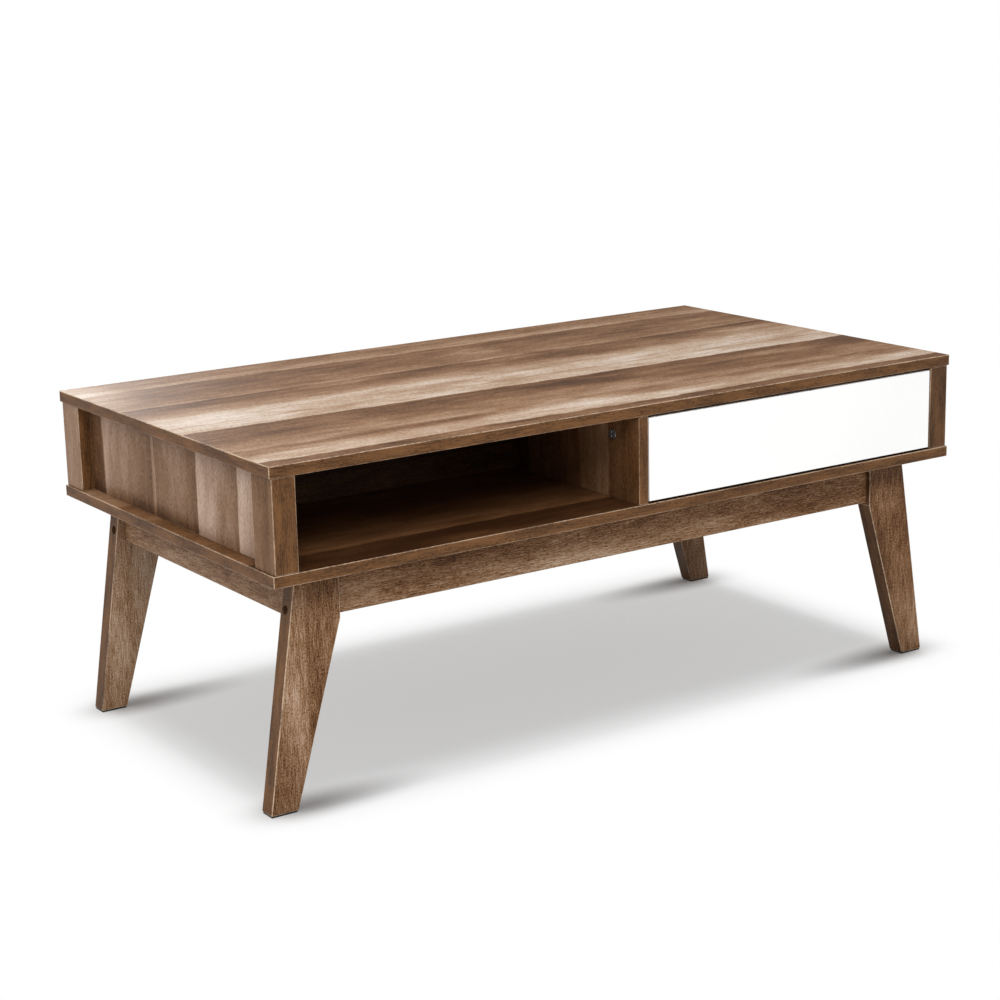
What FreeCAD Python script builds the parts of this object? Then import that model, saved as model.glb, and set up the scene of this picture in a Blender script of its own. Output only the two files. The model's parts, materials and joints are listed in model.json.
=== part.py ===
import FreeCAD, Part
import os

from FreeCAD import Placement, Rotation, Vector

# Low coffee table of 15 mm wood-print board. An open cubby and a handle-less white drawer lie side by side
# at the front, and the same again at the rear, turned half round.
# Millimetres. X runs along the table, the front faces -Y, Z is up, the origin is on the floor under the middle.

# Table
table_length = 1100.0
table_depth = 600.0
table_height = 450.0
board = 15.0
compartment_height = 118.0
cubby_depth = 292.5
end_reveal = 3.0
front_reveal = 1.0
edge_round = 0.8
post_thickness = 32.0
post_depth = 50.0

# Legs, aprons and the blocks behind them
leg_thickness = 25.0
leg_top_width = 61.0
leg_foot_width = 38.0
leg_top_inset = 50.0
leg_foot_inset = 3.0
leg_face_inset = 41.0
shoulder_drop = 4.0
apron_height = 61.0
apron_setback = 7.0
side_apron_inset = 55.0
glide_thickness = 2.5
glide_margin = 1.0
block_width = 30.0
block_height = 48.0
apron_block_x = 150.0

# Drawer boxes
front_thickness = 15.0
gap_top = 3.5
gap_bottom = 3.0
gap_side = 2.0
wall = 12.0
wall_lift = 10.0
wall_headroom = 18.0
bottom_thickness = 3.0
bottom_lift = 8.0
groove_depth = 5.0
groove_clearance = 0.2

# Roller runners, which fill the space between a drawer wall and the compartment beside it
runner_space = 12.75
runner_sheet = 1.2
runner_lift = 8.0
runner_front_gap = 2.0
runner_rear_gap = 20.0
lip_clearance = 0.6
roller_diameter = 18.0
roller_width = 7.0
roller_end = 12.0
roll_clearance = 0.3
axle_diameter = 5.0
axle_clearance = 0.05
axle_tail = 0.3

# Push latch behind each drawer
latch_length = 38.0
latch_width = 24.0
latch_height = 18.0
latch_flange_width = 46.0
latch_flange = 3.0
plunger_diameter = 8.0
plunger_out = 10.0
plunger_in = 24.0
plunger_travel = 3.0
plunger_clearance = 0.1
strike_thickness = 1.7
strike_gap = 0.3

# Fasteners
drill_clearance = 0.1
board_skin = 4.0
cam_diameter = 15.0
cam_edge = 32.0
cam_skin = 2.5
cam_slot_width = 1.6
cam_slot_length = 8.0
cam_slot_depth = 1.2
bolt_diameter = 7.0
bolt_thread_diameter = 5.0
bolt_overlap = 3.0
dowel_diameter = 8.0
dowel_half = 15.0
leg_bolt_diameter = 6.0
leg_bolt_head_diameter = 11.8
leg_bolt_head = 5.0
leg_bolt_sink = 8.0
leg_bolt_tail = 8.0
barrel_nut_diameter = 10.0
barrel_nut_length = 11.0
barrel_nut_inset = 30.0
panel_screw_diameter = 6.4
panel_screw_length = 50.0
panel_screw_head_diameter = 10.0
panel_screw_head = 3.0
wood_screw_diameter = 4.0
wood_screw_head_diameter = 8.0
wood_screw_head = 2.5
wood_screw_bite = 10.0
small_screw_diameter = 3.5
small_screw_head_diameter = 7.0
small_screw_head = 1.0
small_screw_length = 11.0

# Where the fasteners sit
divider_cam_y = 59.0
end_joint_y = 150.0
back_screw_share = (0.2, 0.8)
dowel_share = (0.25, 0.75)
leg_bolt_share = 0.25
leg_dowel_share = 0.75
side_dowel_share = (0.45, 0.8)
block_screw_offset = 8.0
runner_screw_share = (0.09, 0.72)
wall_screw_share = (0.42, 0.8)

# Levels and planes that the pieces share
half_length = table_length / 2
half_depth = table_depth / 2
top_under = table_height - board
floor_level = top_under - compartment_height
frame_top = floor_level - board
face_y = front_reveal - half_depth
post_outer_x = half_length - end_reveal
inner_x = post_outer_x - post_thickness
post_inner_y = face_y + post_depth
end_panel_x = inner_x + board / 2
back_panel_y = half_depth - cubby_depth - board
leg_face_y = leg_face_inset - half_depth
leg_back_y = leg_face_y + leg_thickness
leg_outer_top_x = half_length - leg_top_inset
leg_inner_x = leg_outer_top_x - leg_top_width
leg_outer_foot_x = half_length - leg_foot_inset
leg_inner_foot_x = leg_outer_foot_x - leg_foot_width
apron_bottom = frame_top - apron_height
apron_face_y = leg_face_y + apron_setback
apron_back_y = apron_face_y + board
side_apron_x = half_length - side_apron_inset
side_apron_inner_x = side_apron_x - board

# Front drawer, which lies between the divider and the right end
bay_left = board / 2
bay_right = inner_x
bay_middle = (bay_left + bay_right) / 2
box_left = bay_left + runner_space
box_right = bay_right - runner_space
box_front_y = face_y + front_thickness
strike_y = back_panel_y - latch_length - plunger_out - strike_gap
box_back_y = strike_y - strike_thickness
wall_bottom = floor_level + wall_lift
wall_top = top_under - wall_headroom
groove_bottom = wall_bottom + bottom_lift
groove_top = groove_bottom + bottom_thickness + groove_clearance
latch_z = (wall_bottom + wall_top) / 2
runner_y = box_front_y + runner_front_gap
runner_length = box_back_y - runner_rear_gap - runner_y
runner_bottom = floor_level + runner_lift
roller_radius = roller_diameter / 2
roller_z = runner_bottom + runner_sheet + roll_clearance + roller_radius
flange_z = roller_z + roller_radius + roll_clearance
lip_z = flange_z + runner_sheet + lip_clearance
RUNNER_SIDES = {"left": (bay_left, 1.0), "right": (bay_right, -1.0)}

ORIGIN = Vector(0, 0, 0)
X = Vector(1, 0, 0)
Y = Vector(0, 1, 0)
Z = Vector(0, 0, 1)


def block(x0, x1, y0, y1, z0, z1):
    """Box between two corners, in whichever order the limits come."""
    corner = Vector(min(x0, x1), min(y0, y1), min(z0, z1))
    return Part.makeBox(abs(x1 - x0), abs(y1 - y0), abs(z1 - z0), corner)


def turned(shape):
    """The same piece half a turn round the table's upright middle line."""
    other = shape.copy()
    other.rotate(ORIGIN, Z, 180)
    return other


def both(shapes):
    """The given pieces and their half-turned copies."""
    return shapes + [turned(shape) for shape in shapes]


def softened(shape, keep_sharp_above=None):
    """Rounds the edges, apart from those that reach above a level."""
    edges = shape.Edges
    if keep_sharp_above is not None:
        edges = [edge for edge in edges if edge.BoundBox.ZMin < keep_sharp_above]
    return shape.makeFillet(edge_round, edges)


def lathe(start, axis, steps, grow=0.0):
    """Round piece of (diameter, length) steps along an axis; grow makes the hole that takes it."""
    place = Vector(start)
    pieces = []
    for diameter, length in steps:
        pieces.append(Part.makeCylinder(diameter / 2 + grow, length, place, axis))
        place = place + axis * length
    if grow:
        pieces.append(Part.makeCylinder(steps[-1][0] / 2 + grow, grow, place, axis))
    return pieces[0].fuse(pieces[1:]).removeSplitter() if len(pieces) > 1 else pieces[0]


def drilled(shape, holes):
    """The piece with every hole cut that reaches it."""
    reaching = [hole for hole in holes if hole.BoundBox.intersect(shape.BoundBox)]
    return shape.cut(reaching) if reaching else shape


class Fasteners:
    """Fasteners of one kind of assembly, with the holes that take them."""

    def __init__(self):
        self.holes = []
        self.cams = []
        self.bolts = []
        self.dowels = []
        self.leg_bolts = []
        self.barrel_nuts = []
        self.panel_screws = []
        self.wood_screws = []
        self.small_screws = []

    def add(self, kind, start, axis, steps):
        """A turned fastener and its hole."""
        kind.append(lathe(start, axis, steps))
        self.holes.append(lathe(start, axis, steps, drill_clearance))

    def dowel(self, middle, axis, first=dowel_half, second=dowel_half):
        """Dowel that reaches a length to either side of the joint."""
        self.add(self.dowels, middle - axis * first, axis, [(dowel_diameter, first + second)])

    def leg_bolt(self, edge, axis, nut_middle):
        """Bolt sunk in a leg's outer edge, and the barrel nut in the apron that draws the leg against it."""
        head_face = edge + axis * leg_bolt_sink
        shank = (nut_middle - head_face).dot(axis) + leg_bolt_tail - leg_bolt_head
        steps = [(leg_bolt_head_diameter, leg_bolt_head), (leg_bolt_diameter, shank)]
        self.add(self.leg_bolts, head_face, axis, steps)
        bolt_hole = self.holes[-1]
        mouth = [(leg_bolt_head_diameter, leg_bolt_sink + leg_bolt_head_diameter)]
        self.holes.append(lathe(head_face, axis * -1, mouth, drill_clearance))
        nut_end = nut_middle + Y * (barrel_nut_length / 2)
        barrel = [(barrel_nut_diameter, barrel_nut_length)]
        self.barrel_nuts.append(lathe(nut_end, Y * -1, barrel).cut(bolt_hole))
        apron_back = nut_middle + Y * (board / 2)
        drilling = [(barrel_nut_diameter, (board + barrel_nut_length) / 2)]
        self.holes.append(lathe(apron_back, Y * -1, drilling, drill_clearance))

    def panel_screw(self, start, axis, length):
        """Screw with a sunk head that starts flush with a face."""
        head = (panel_screw_head_diameter, panel_screw_head)
        self.add(self.panel_screws, start, axis, [head, (panel_screw_diameter, length - panel_screw_head)])

    def wood_screw(self, seat, axis, length):
        """Screw whose head stands on a face."""
        head = (wood_screw_head_diameter, wood_screw_head)
        self.add(self.wood_screws, seat - axis * wood_screw_head, axis, [head, (wood_screw_diameter, length)])

    def small_screw(self, seat, axis):
        """Low-headed screw for the metal and plastic fittings."""
        head = (small_screw_head_diameter, small_screw_head)
        shank = (small_screw_diameter, small_screw_length)
        self.add(self.small_screws, seat - axis * small_screw_head, axis, [head, shank])

    def cam_joint(self, edge, bolt_axis, face_axis, thickness, thread):
        """Cam lock in a board's face, and the bolt that it draws from the board across the edge."""
        centre = edge - bolt_axis * cam_edge
        face = centre + face_axis * (thickness / 2)
        steps = [(bolt_diameter, cam_edge + bolt_overlap), (bolt_thread_diameter, thread)]
        bolt_start = centre - bolt_axis * bolt_overlap
        self.add(self.bolts, bolt_start, bolt_axis, steps)
        bolt_hole = self.holes[-1]
        barrel = [(cam_diameter, thickness - cam_skin)]
        self.holes.append(lathe(face, face_axis * -1, barrel, drill_clearance))
        turn = Placement(face, Rotation(Z, face_axis))
        slot = Part.makeBox(cam_slot_length, cam_slot_width, cam_slot_depth)
        slot.translate(Vector(-cam_slot_length / 2, -cam_slot_width / 2, -cam_slot_depth))
        across = slot.copy()
        across.rotate(ORIGIN, Z, 90)
        recess = slot.fuse(across)
        recess.Placement = turn.multiply(recess.Placement)
        self.cams.append(lathe(face, face_axis * -1, barrel).cut([recess, bolt_hole]))


def top_board():
    return softened(block(-half_length, half_length, -half_depth, half_depth, top_under, table_height))


def bottom_board():
    return softened(block(-half_length, half_length, -half_depth, half_depth, frame_top, floor_level))


def divider():
    return block(-board / 2, board / 2, face_y, -face_y, floor_level, top_under)


def front_post(side):
    return block(side * inner_x, side * post_outer_x, face_y, post_inner_y, floor_level, top_under)


def right_end_panel():
    return block(inner_x, inner_x + board, post_inner_y, -post_inner_y, floor_level, top_under)


def right_back_panel():
    return block(bay_left, bay_right, back_panel_y, back_panel_y + board, floor_level, top_under)


def leg_outer_x(z):
    """How far out a leg's slanting outer edge is at a height."""
    slant = (leg_outer_foot_x - leg_outer_top_x) / (frame_top - glide_thickness)
    return leg_outer_top_x + slant * (frame_top - z)


def front_leg(side):
    """Flat leg: its inner edge is upright beside the apron, then slants out to a narrow foot."""
    outline = [
        (leg_inner_x, frame_top),
        (leg_outer_top_x, frame_top),
        (leg_outer_foot_x, glide_thickness),
        (leg_inner_foot_x, glide_thickness),
        (leg_inner_x, apron_bottom - shoulder_drop),
    ]
    points = [Vector(side * x, leg_face_y, z) for x, z in outline]
    profile = Part.Face(Part.makePolygon(points + points[:1]))
    return softened(profile.extrude(Y * leg_thickness), frame_top)


def front_glide(side):
    near = leg_face_y + glide_margin
    far = leg_back_y - glide_margin
    inner = side * (leg_inner_foot_x + glide_margin)
    outer = side * (leg_outer_foot_x - glide_margin)
    return block(inner, outer, near, far, 0, glide_thickness)


def front_apron():
    return block(-leg_inner_x, leg_inner_x, apron_face_y, apron_back_y, apron_bottom, frame_top)


def right_apron():
    return block(side_apron_inner_x, side_apron_x, leg_back_y, -leg_back_y, apron_bottom, frame_top)


def corner_block(side):
    """Block in the corner between a leg's back face and the side apron."""
    inner = side_apron_inner_x - block_width
    far = leg_back_y + block_width
    return block(side * inner, side * side_apron_inner_x, leg_back_y, far, frame_top - block_height, frame_top)


def apron_block(side):
    """Block behind the front apron, between the legs."""
    middle = side * apron_block_x
    left, right = middle - block_width / 2, middle + block_width / 2
    far = apron_back_y + block_width
    return block(left, right, apron_back_y, far, frame_top - block_height, frame_top)


def drawer_front():
    """Inset front with a groove across its back for the drawer's bottom."""
    left, right = bay_left + gap_side, bay_right - gap_side
    low, high = floor_level + gap_bottom, top_under - gap_top
    plain = softened(block(left, right, face_y, box_front_y, low, high))
    groove = block(
        box_left + wall - groove_depth,
        box_right - wall + groove_depth,
        box_front_y - groove_depth,
        box_front_y,
        groove_bottom,
        groove_top,
    )
    return plain.cut(groove)


def across(wall_x, into, near, far):
    """The two X values at distances from a compartment's wall."""
    return wall_x + into * near, wall_x + into * far


def drawer_wall(wall_x, into):
    outer, inner = across(wall_x, into, runner_space, runner_space + wall)
    plain = block(outer, inner, box_front_y, box_back_y, wall_bottom, wall_top)
    groove = block(
        inner - into * groove_depth,
        inner,
        box_front_y,
        box_back_y - wall + groove_depth,
        groove_bottom,
        groove_top,
    )
    return plain.cut(groove)


def drawer_back():
    left, right = box_left + wall, box_right - wall
    plain = block(left, right, box_back_y - wall, box_back_y, wall_bottom, wall_top)
    near = box_back_y - wall
    return plain.cut(block(left, right, near, near + groove_depth, groove_bottom, groove_top))


def drawer_bottom():
    reach = groove_depth - groove_clearance
    return block(
        box_left + wall - reach,
        box_right - wall + reach,
        box_front_y - reach,
        box_back_y - wall + reach,
        groove_bottom,
        groove_bottom + bottom_thickness,
    )


def roller_span(wall_x, into):
    """The two X values between which a roller lies, midway in the runner's space."""
    middle = runner_space / 2
    return across(wall_x, into, middle - roller_width / 2, middle + roller_width / 2)


def axle(wall_x, into, y, from_distance, roller_edge):
    """Axle pin from a runner's web to just past the far edge of its roller."""
    start = wall_x + into * from_distance
    way = 1.0 if roller_edge > start else -1.0
    length = abs(roller_edge - start) + axle_tail
    return Part.makeCylinder(axle_diameter / 2, length, Vector(start, y, roller_z), X * way)


def cabinet_runner(wall_x, into):
    """Channel on the compartment's wall: the drawer's roller runs on its lower flange."""
    y0, y1 = runner_y, runner_y + runner_length
    back, web = across(wall_x, into, 0, runner_sheet)
    edge = wall_x + into * (runner_space - runner_sheet - lip_clearance)
    parts = [
        block(back, edge, y0, y1, runner_bottom, runner_bottom + runner_sheet),
        block(back, edge, y0, y1, lip_z, lip_z + runner_sheet),
        axle(wall_x, into, y0 + roller_end, runner_sheet, roller_span(wall_x, into)[1]),
    ]
    return block(back, web, y0, y1, runner_bottom, lip_z + runner_sheet).fuse(parts).removeSplitter()


def drawer_runner(wall_x, into):
    """Angle under the drawer wall, with a flange that rides on the cabinet's roller."""
    y0, y1 = runner_y, runner_y + runner_length
    web, outer = across(wall_x, into, runner_space - runner_sheet, runner_space)
    under = wall_x + into * (runner_space + wall)
    flange_edge = wall_x + into * (runner_sheet + lip_clearance)
    low = wall_bottom - runner_sheet
    parts = [
        block(web, under, y0, y1, low, wall_bottom),
        block(flange_edge, outer, y0, y1, flange_z, flange_z + runner_sheet),
        axle(wall_x, into, y1 - roller_end, runner_space - runner_sheet, roller_span(wall_x, into)[0]),
    ]
    return block(web, outer, y0, y1, low, flange_z + runner_sheet).fuse(parts).removeSplitter()


def roller(wall_x, into, y):
    near, far = roller_span(wall_x, into)
    start = Vector(min(near, far), y, roller_z)
    bore = Part.makeCylinder(axle_diameter / 2 + axle_clearance, roller_width, start, X)
    return Part.makeCylinder(roller_radius, roller_width, start, X).cut(bore)


def roller_pair(y):
    return [roller(wall_x, into, y) for wall_x, into in RUNNER_SIDES.values()]


def latch_housing():
    """Case on a screw flange, bored for the plunger with room for it to be pressed."""
    front = back_panel_y - latch_length
    half_height = latch_height / 2
    low, high = latch_z - half_height, latch_z + half_height
    case = block(
        bay_middle - latch_width / 2, bay_middle + latch_width / 2, front, back_panel_y, low, high
    )
    flange = block(
        bay_middle - latch_flange_width / 2,
        bay_middle + latch_flange_width / 2,
        back_panel_y - latch_flange,
        back_panel_y,
        low,
        high,
    )
    depth = plunger_in + plunger_travel + plunger_clearance
    mouth = Vector(bay_middle, front, latch_z)
    bore = Part.makeCylinder(plunger_diameter / 2 + plunger_clearance, depth, mouth, Y)
    return case.fuse(flange).removeSplitter().cut(bore)


def latch_plunger():
    tip = Vector(bay_middle, back_panel_y - latch_length - plunger_out, latch_z)
    pin = Part.makeCylinder(plunger_diameter / 2, plunger_out + plunger_in, tip, Y)
    return pin.makeFillet(edge_round, [edge for edge in pin.Edges if edge.BoundBox.YMax < tip.y + edge_round])


def strike_plate():
    half_width = latch_flange_width / 2
    left, right = bay_middle - half_width, bay_middle + half_width
    low, high = latch_z - latch_height / 2, latch_z + latch_height / 2
    return block(left, right, box_back_y, strike_y, low, high)


def share(low, high, shares):
    """Places between two limits, as shares of the way."""
    return [low + (high - low) * part for part in shares]


def cabinet_fasteners():
    """Fasteners of half the table; the other half's are the same, turned."""
    made = Fasteners()
    thread = board - board_skin
    post_y = (face_y + post_inner_y) / 2
    post_x = (inner_x + post_outer_x) / 2
    back_y = -(back_panel_y + board / 2)
    runner_screw_ys = share(runner_y, runner_y + runner_length, runner_screw_share)
    screw_spots = [(end_panel_x, -end_joint_y), (end_panel_x, end_joint_y)]
    screw_spots += [(0, y) for y in (sum(runner_screw_ys) / 2, runner_screw_ys[1] / 2)]
    screw_spots += [(x, back_y) for x in share(-bay_right, -bay_left, back_screw_share)]
    for side in (-1, 1):
        screw_spots.append((side * post_x, post_y))
        made.dowel(Vector(side * post_x, post_y, top_under), Z, dowel_half, thread)
    for x, y in screw_spots:
        made.panel_screw(Vector(x, y, frame_top), Z, panel_screw_length)

    made.cam_joint(Vector(0, divider_cam_y - half_depth, top_under), Z, X * -1, board, thread)
    for y in (-end_joint_y, end_joint_y):
        made.cam_joint(Vector(end_panel_x, y, top_under), Z, X * -1, board, thread)
    for x in share(-bay_right, -bay_left, dowel_share):
        made.cam_joint(Vector(x, back_y, top_under), Z, Y, board, thread)

    for z in share(floor_level, top_under, dowel_share):
        for y in (post_inner_y, -post_inner_y):
            made.dowel(Vector(end_panel_x, y, z), Y)
    rail_middle_y = (apron_face_y + apron_back_y) / 2
    bolt_z, dowel_z = share(apron_bottom, frame_top, (leg_bolt_share, leg_dowel_share))
    for side in (-1, 1):
        made.dowel(Vector(side * leg_inner_x, rail_middle_y, dowel_z), X)
        edge = Vector(side * leg_outer_x(bolt_z), rail_middle_y, bolt_z)
        nut_middle = Vector(side * (leg_inner_x - barrel_nut_inset), rail_middle_y, bolt_z)
        made.leg_bolt(edge, X * -side, nut_middle)
    side_middle_x = (side_apron_inner_x + side_apron_x) / 2
    for z in share(apron_bottom, frame_top, side_dowel_share):
        made.dowel(Vector(side_middle_x, leg_back_y, z), Y, leg_thickness / 2, dowel_half)
        made.dowel(Vector(side_middle_x, -leg_back_y, z), Y, dowel_half, leg_thickness / 2)

    block_low = frame_top - block_height
    into_board = block_height + board - board_skin
    through = block_width + wood_screw_bite
    for side in (-1, 1):
        corner_x = side * (side_apron_inner_x - block_width / 2)
        corner_y = leg_back_y + block_width / 2
        rail_x = side * apron_block_x
        rail_y = apron_back_y + block_width / 2
        near_z, far_z = share(block_low, frame_top, (0.3, 0.6))
        for x, y in ((corner_x, corner_y), (rail_x, rail_y)):
            made.wood_screw(Vector(x, y, block_low), Z, into_board)
            sideways = x - side * block_screw_offset
            made.wood_screw(Vector(sideways, y + block_width / 2, near_z), Y * -1, through)
        outward = Vector(corner_x - side * block_width / 2, corner_y + block_screw_offset, far_z)
        made.wood_screw(outward, X * side, through)

    for wall_x, into in RUNNER_SIDES.values():
        for y in runner_screw_ys:
            made.small_screw(Vector(wall_x + into * runner_sheet, y, roller_z), X * -into)
    for side in (-1, 1):
        x = bay_middle + side * (latch_width + latch_flange_width) / 4
        made.small_screw(Vector(x, back_panel_y - latch_flange, latch_z), Y)
    return made


def drawer_fasteners():
    """Fasteners that hold one drawer together and carry its runners and strike plate."""
    made = Fasteners()
    for wall_x, into in RUNNER_SIDES.values():
        outer = wall_x + into * runner_space
        middle = outer + into * wall / 2
        for y in share(runner_y, runner_y + runner_length, runner_screw_share):
            made.small_screw(Vector(middle, y, wall_bottom - runner_sheet), Z)
        for z in share(wall_bottom, wall_top, wall_screw_share):
            made.panel_screw(Vector(outer, box_back_y - wall / 2, z), X * into, wall + 2 * dowel_half)
        cam_edge_point = Vector(middle, box_front_y, (wall_bottom + wall_top) / 2)
        made.cam_joint(cam_edge_point, Y * -1, X * -into, wall, front_thickness - board_skin)
    for side in (-1, 1):
        x = bay_middle + side * (latch_width + latch_flange_width) / 4
        made.small_screw(Vector(x, strike_y, latch_z), Y * -1)
    return made


def front_drawer_nodes(made):
    """Pieces that slide out together, drilled for their fasteners."""
    pieces = {
        "drawer_front": drawer_front(),
        "drawer_back": drawer_back(),
        "drawer_bottom": drawer_bottom(),
        "strike_plate": strike_plate(),
    }
    for side, (wall_x, into) in RUNNER_SIDES.items():
        pieces[f"drawer_{side}_wall"] = drawer_wall(wall_x, into)
        pieces[f"drawer_runner_{side}"] = drawer_runner(wall_x, into)
    pieces = {name: drilled(shape, made.holes) for name, shape in pieces.items()}
    loose = made.cams + made.bolts + made.panel_screws + made.small_screws
    pieces["drawer_fasteners"] = Part.makeCompound(loose)
    pieces["drawer_rollers"] = Part.makeCompound(roller_pair(runner_y + runner_length - roller_end))
    return pieces


def front_fitting_nodes():
    """What the cabinet carries for the front drawer."""
    pieces = {"latch_housing": latch_housing()}
    for side, (wall_x, into) in RUNNER_SIDES.items():
        pieces[f"cabinet_runner_{side}"] = cabinet_runner(wall_x, into)
    return pieces


def cabinet_nodes():
    """Boards, posts, legs, aprons and drawer fittings of the whole table, not yet drilled."""
    pieces = {"top_panel": top_board(), "bottom_panel": bottom_board(), "centre_divider": divider()}
    pieces["right_end_panel"] = right_end_panel()
    pieces["right_back_panel"] = right_back_panel()
    pieces["right_apron"] = right_apron()
    pieces["front_apron"] = front_apron()
    pieces["rear_apron"] = turned(front_apron())
    for name in ("end_panel", "back_panel", "apron"):
        pieces[f"left_{name}"] = turned(pieces[f"right_{name}"])
    for side, here, there in ((-1, "left", "right"), (1, "right", "left")):
        for name, make in (("post", front_post), ("leg", front_leg)):
            pieces[f"front_{here}_{name}"] = make(side)
            pieces[f"rear_{there}_{name}"] = turned(make(side))
    blocks = [make(side) for make in (corner_block, apron_block) for side in (-1, 1)]
    pieces["glue_blocks"] = Part.makeCompound(both(blocks))
    for name, shape in front_fitting_nodes().items():
        pieces[f"front_{name}"] = shape
        pieces[f"rear_{name}"] = turned(shape)
    return pieces


def all_nodes():
    """Every piece of the table by its node's name."""
    held = cabinet_fasteners()
    holes = both(held.holes)
    nodes = {name: drilled(shape, holes) for name, shape in cabinet_nodes().items()}
    nodes["foot_glides"] = Part.makeCompound(both([front_glide(side) for side in (-1, 1)]))
    nodes["cam_locks"] = Part.makeCompound(both(held.cams))
    nodes["cam_bolts"] = Part.makeCompound(both(held.bolts))
    nodes["wood_dowels"] = Part.makeCompound(both(held.dowels))
    nodes["leg_bolts"] = Part.makeCompound(both(held.leg_bolts))
    nodes["barrel_nuts"] = Part.makeCompound(both(held.barrel_nuts))
    nodes["panel_screws"] = Part.makeCompound(both(held.panel_screws))
    nodes["block_screws"] = Part.makeCompound(both(held.wood_screws))
    nodes["fitting_screws"] = Part.makeCompound(both(held.small_screws))
    moving = front_drawer_nodes(drawer_fasteners())
    moving["cabinet_rollers"] = Part.makeCompound(roller_pair(runner_y + roller_end))
    moving["latch_plunger"] = latch_plunger()
    for name, shape in moving.items():
        nodes[f"front_{name}"] = shape
        nodes[f"rear_{name}"] = turned(shape)
    return nodes


os.makedirs("parts", exist_ok=True)
for node_name, node_shape in all_nodes().items():
    node_shape.exportStep(f"parts/{node_name}.step")
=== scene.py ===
"""Looks of a low coffee table of wood-print board, with white push-open drawers and splayed legs."""

import json
import logging
import math
from dataclasses import dataclass, replace
from enum import Enum, StrEnum
from functools import cache

import bpy
import numpy as np
from mathutils import Matrix, Vector


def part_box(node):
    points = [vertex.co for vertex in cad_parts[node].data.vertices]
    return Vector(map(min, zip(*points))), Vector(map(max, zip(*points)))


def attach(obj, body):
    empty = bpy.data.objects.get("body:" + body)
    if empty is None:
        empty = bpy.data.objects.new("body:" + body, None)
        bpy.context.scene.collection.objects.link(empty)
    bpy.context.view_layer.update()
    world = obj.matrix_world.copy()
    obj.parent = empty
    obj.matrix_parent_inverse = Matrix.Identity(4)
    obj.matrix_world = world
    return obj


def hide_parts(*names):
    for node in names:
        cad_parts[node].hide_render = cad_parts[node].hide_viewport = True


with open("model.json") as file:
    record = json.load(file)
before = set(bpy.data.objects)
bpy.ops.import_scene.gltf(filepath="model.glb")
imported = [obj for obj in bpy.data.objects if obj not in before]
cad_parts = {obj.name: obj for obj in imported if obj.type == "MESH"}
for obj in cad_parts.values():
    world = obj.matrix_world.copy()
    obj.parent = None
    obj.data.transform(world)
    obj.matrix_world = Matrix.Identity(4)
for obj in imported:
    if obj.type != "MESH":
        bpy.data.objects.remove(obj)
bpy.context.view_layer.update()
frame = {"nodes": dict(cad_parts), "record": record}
RECORD = frame["record"]
BODY_OF = {node: body for body, nodes in RECORD["behaviour"]["bodies"].items() for node in nodes}
SLOT_OF = {part["node"]: part["material_slot"] for part in RECORD["subparts"]}

LOG = logging.getLogger("coffee_table")
MM = 0.001
PRINT_UV = "print"
EDGE_ATTRIBUTE = "edge"
MIX_FACTOR, MIX_A, MIX_B = 0, 6, 7
FACE, RIM, BORE = 0, 1, 2
PLATED, RECESSED, CAST = 0, 1, 2
SHARP_ANGLE = math.radians(38)
SAME_POINT = 0.001 * MM
CAD_SAME_POINT = 0.01 * MM
RESIN_IOR = 1.5

Colour = tuple[float, float, float, float]
Stops = list[tuple[float, Colour]]
Palette = tuple[str, ...]
Pair = tuple[float, float]
Triple = tuple[float, float, float]


def linear(code: str) -> Colour:
    """Turns an sRGB hex colour to linear light.

    Args:
        code: the colour as #rrggbb.
    Returns:
        Red, green, blue and alpha.
    """
    srgb = np.array([int(code[place:place + 2], 16) for place in (1, 3, 5)]) / 255
    light = np.where(srgb <= 0.04045, srgb / 12.92, ((srgb + 0.055) / 1.055) ** 2.4)
    return (*light.tolist(), 1.0)


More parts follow.
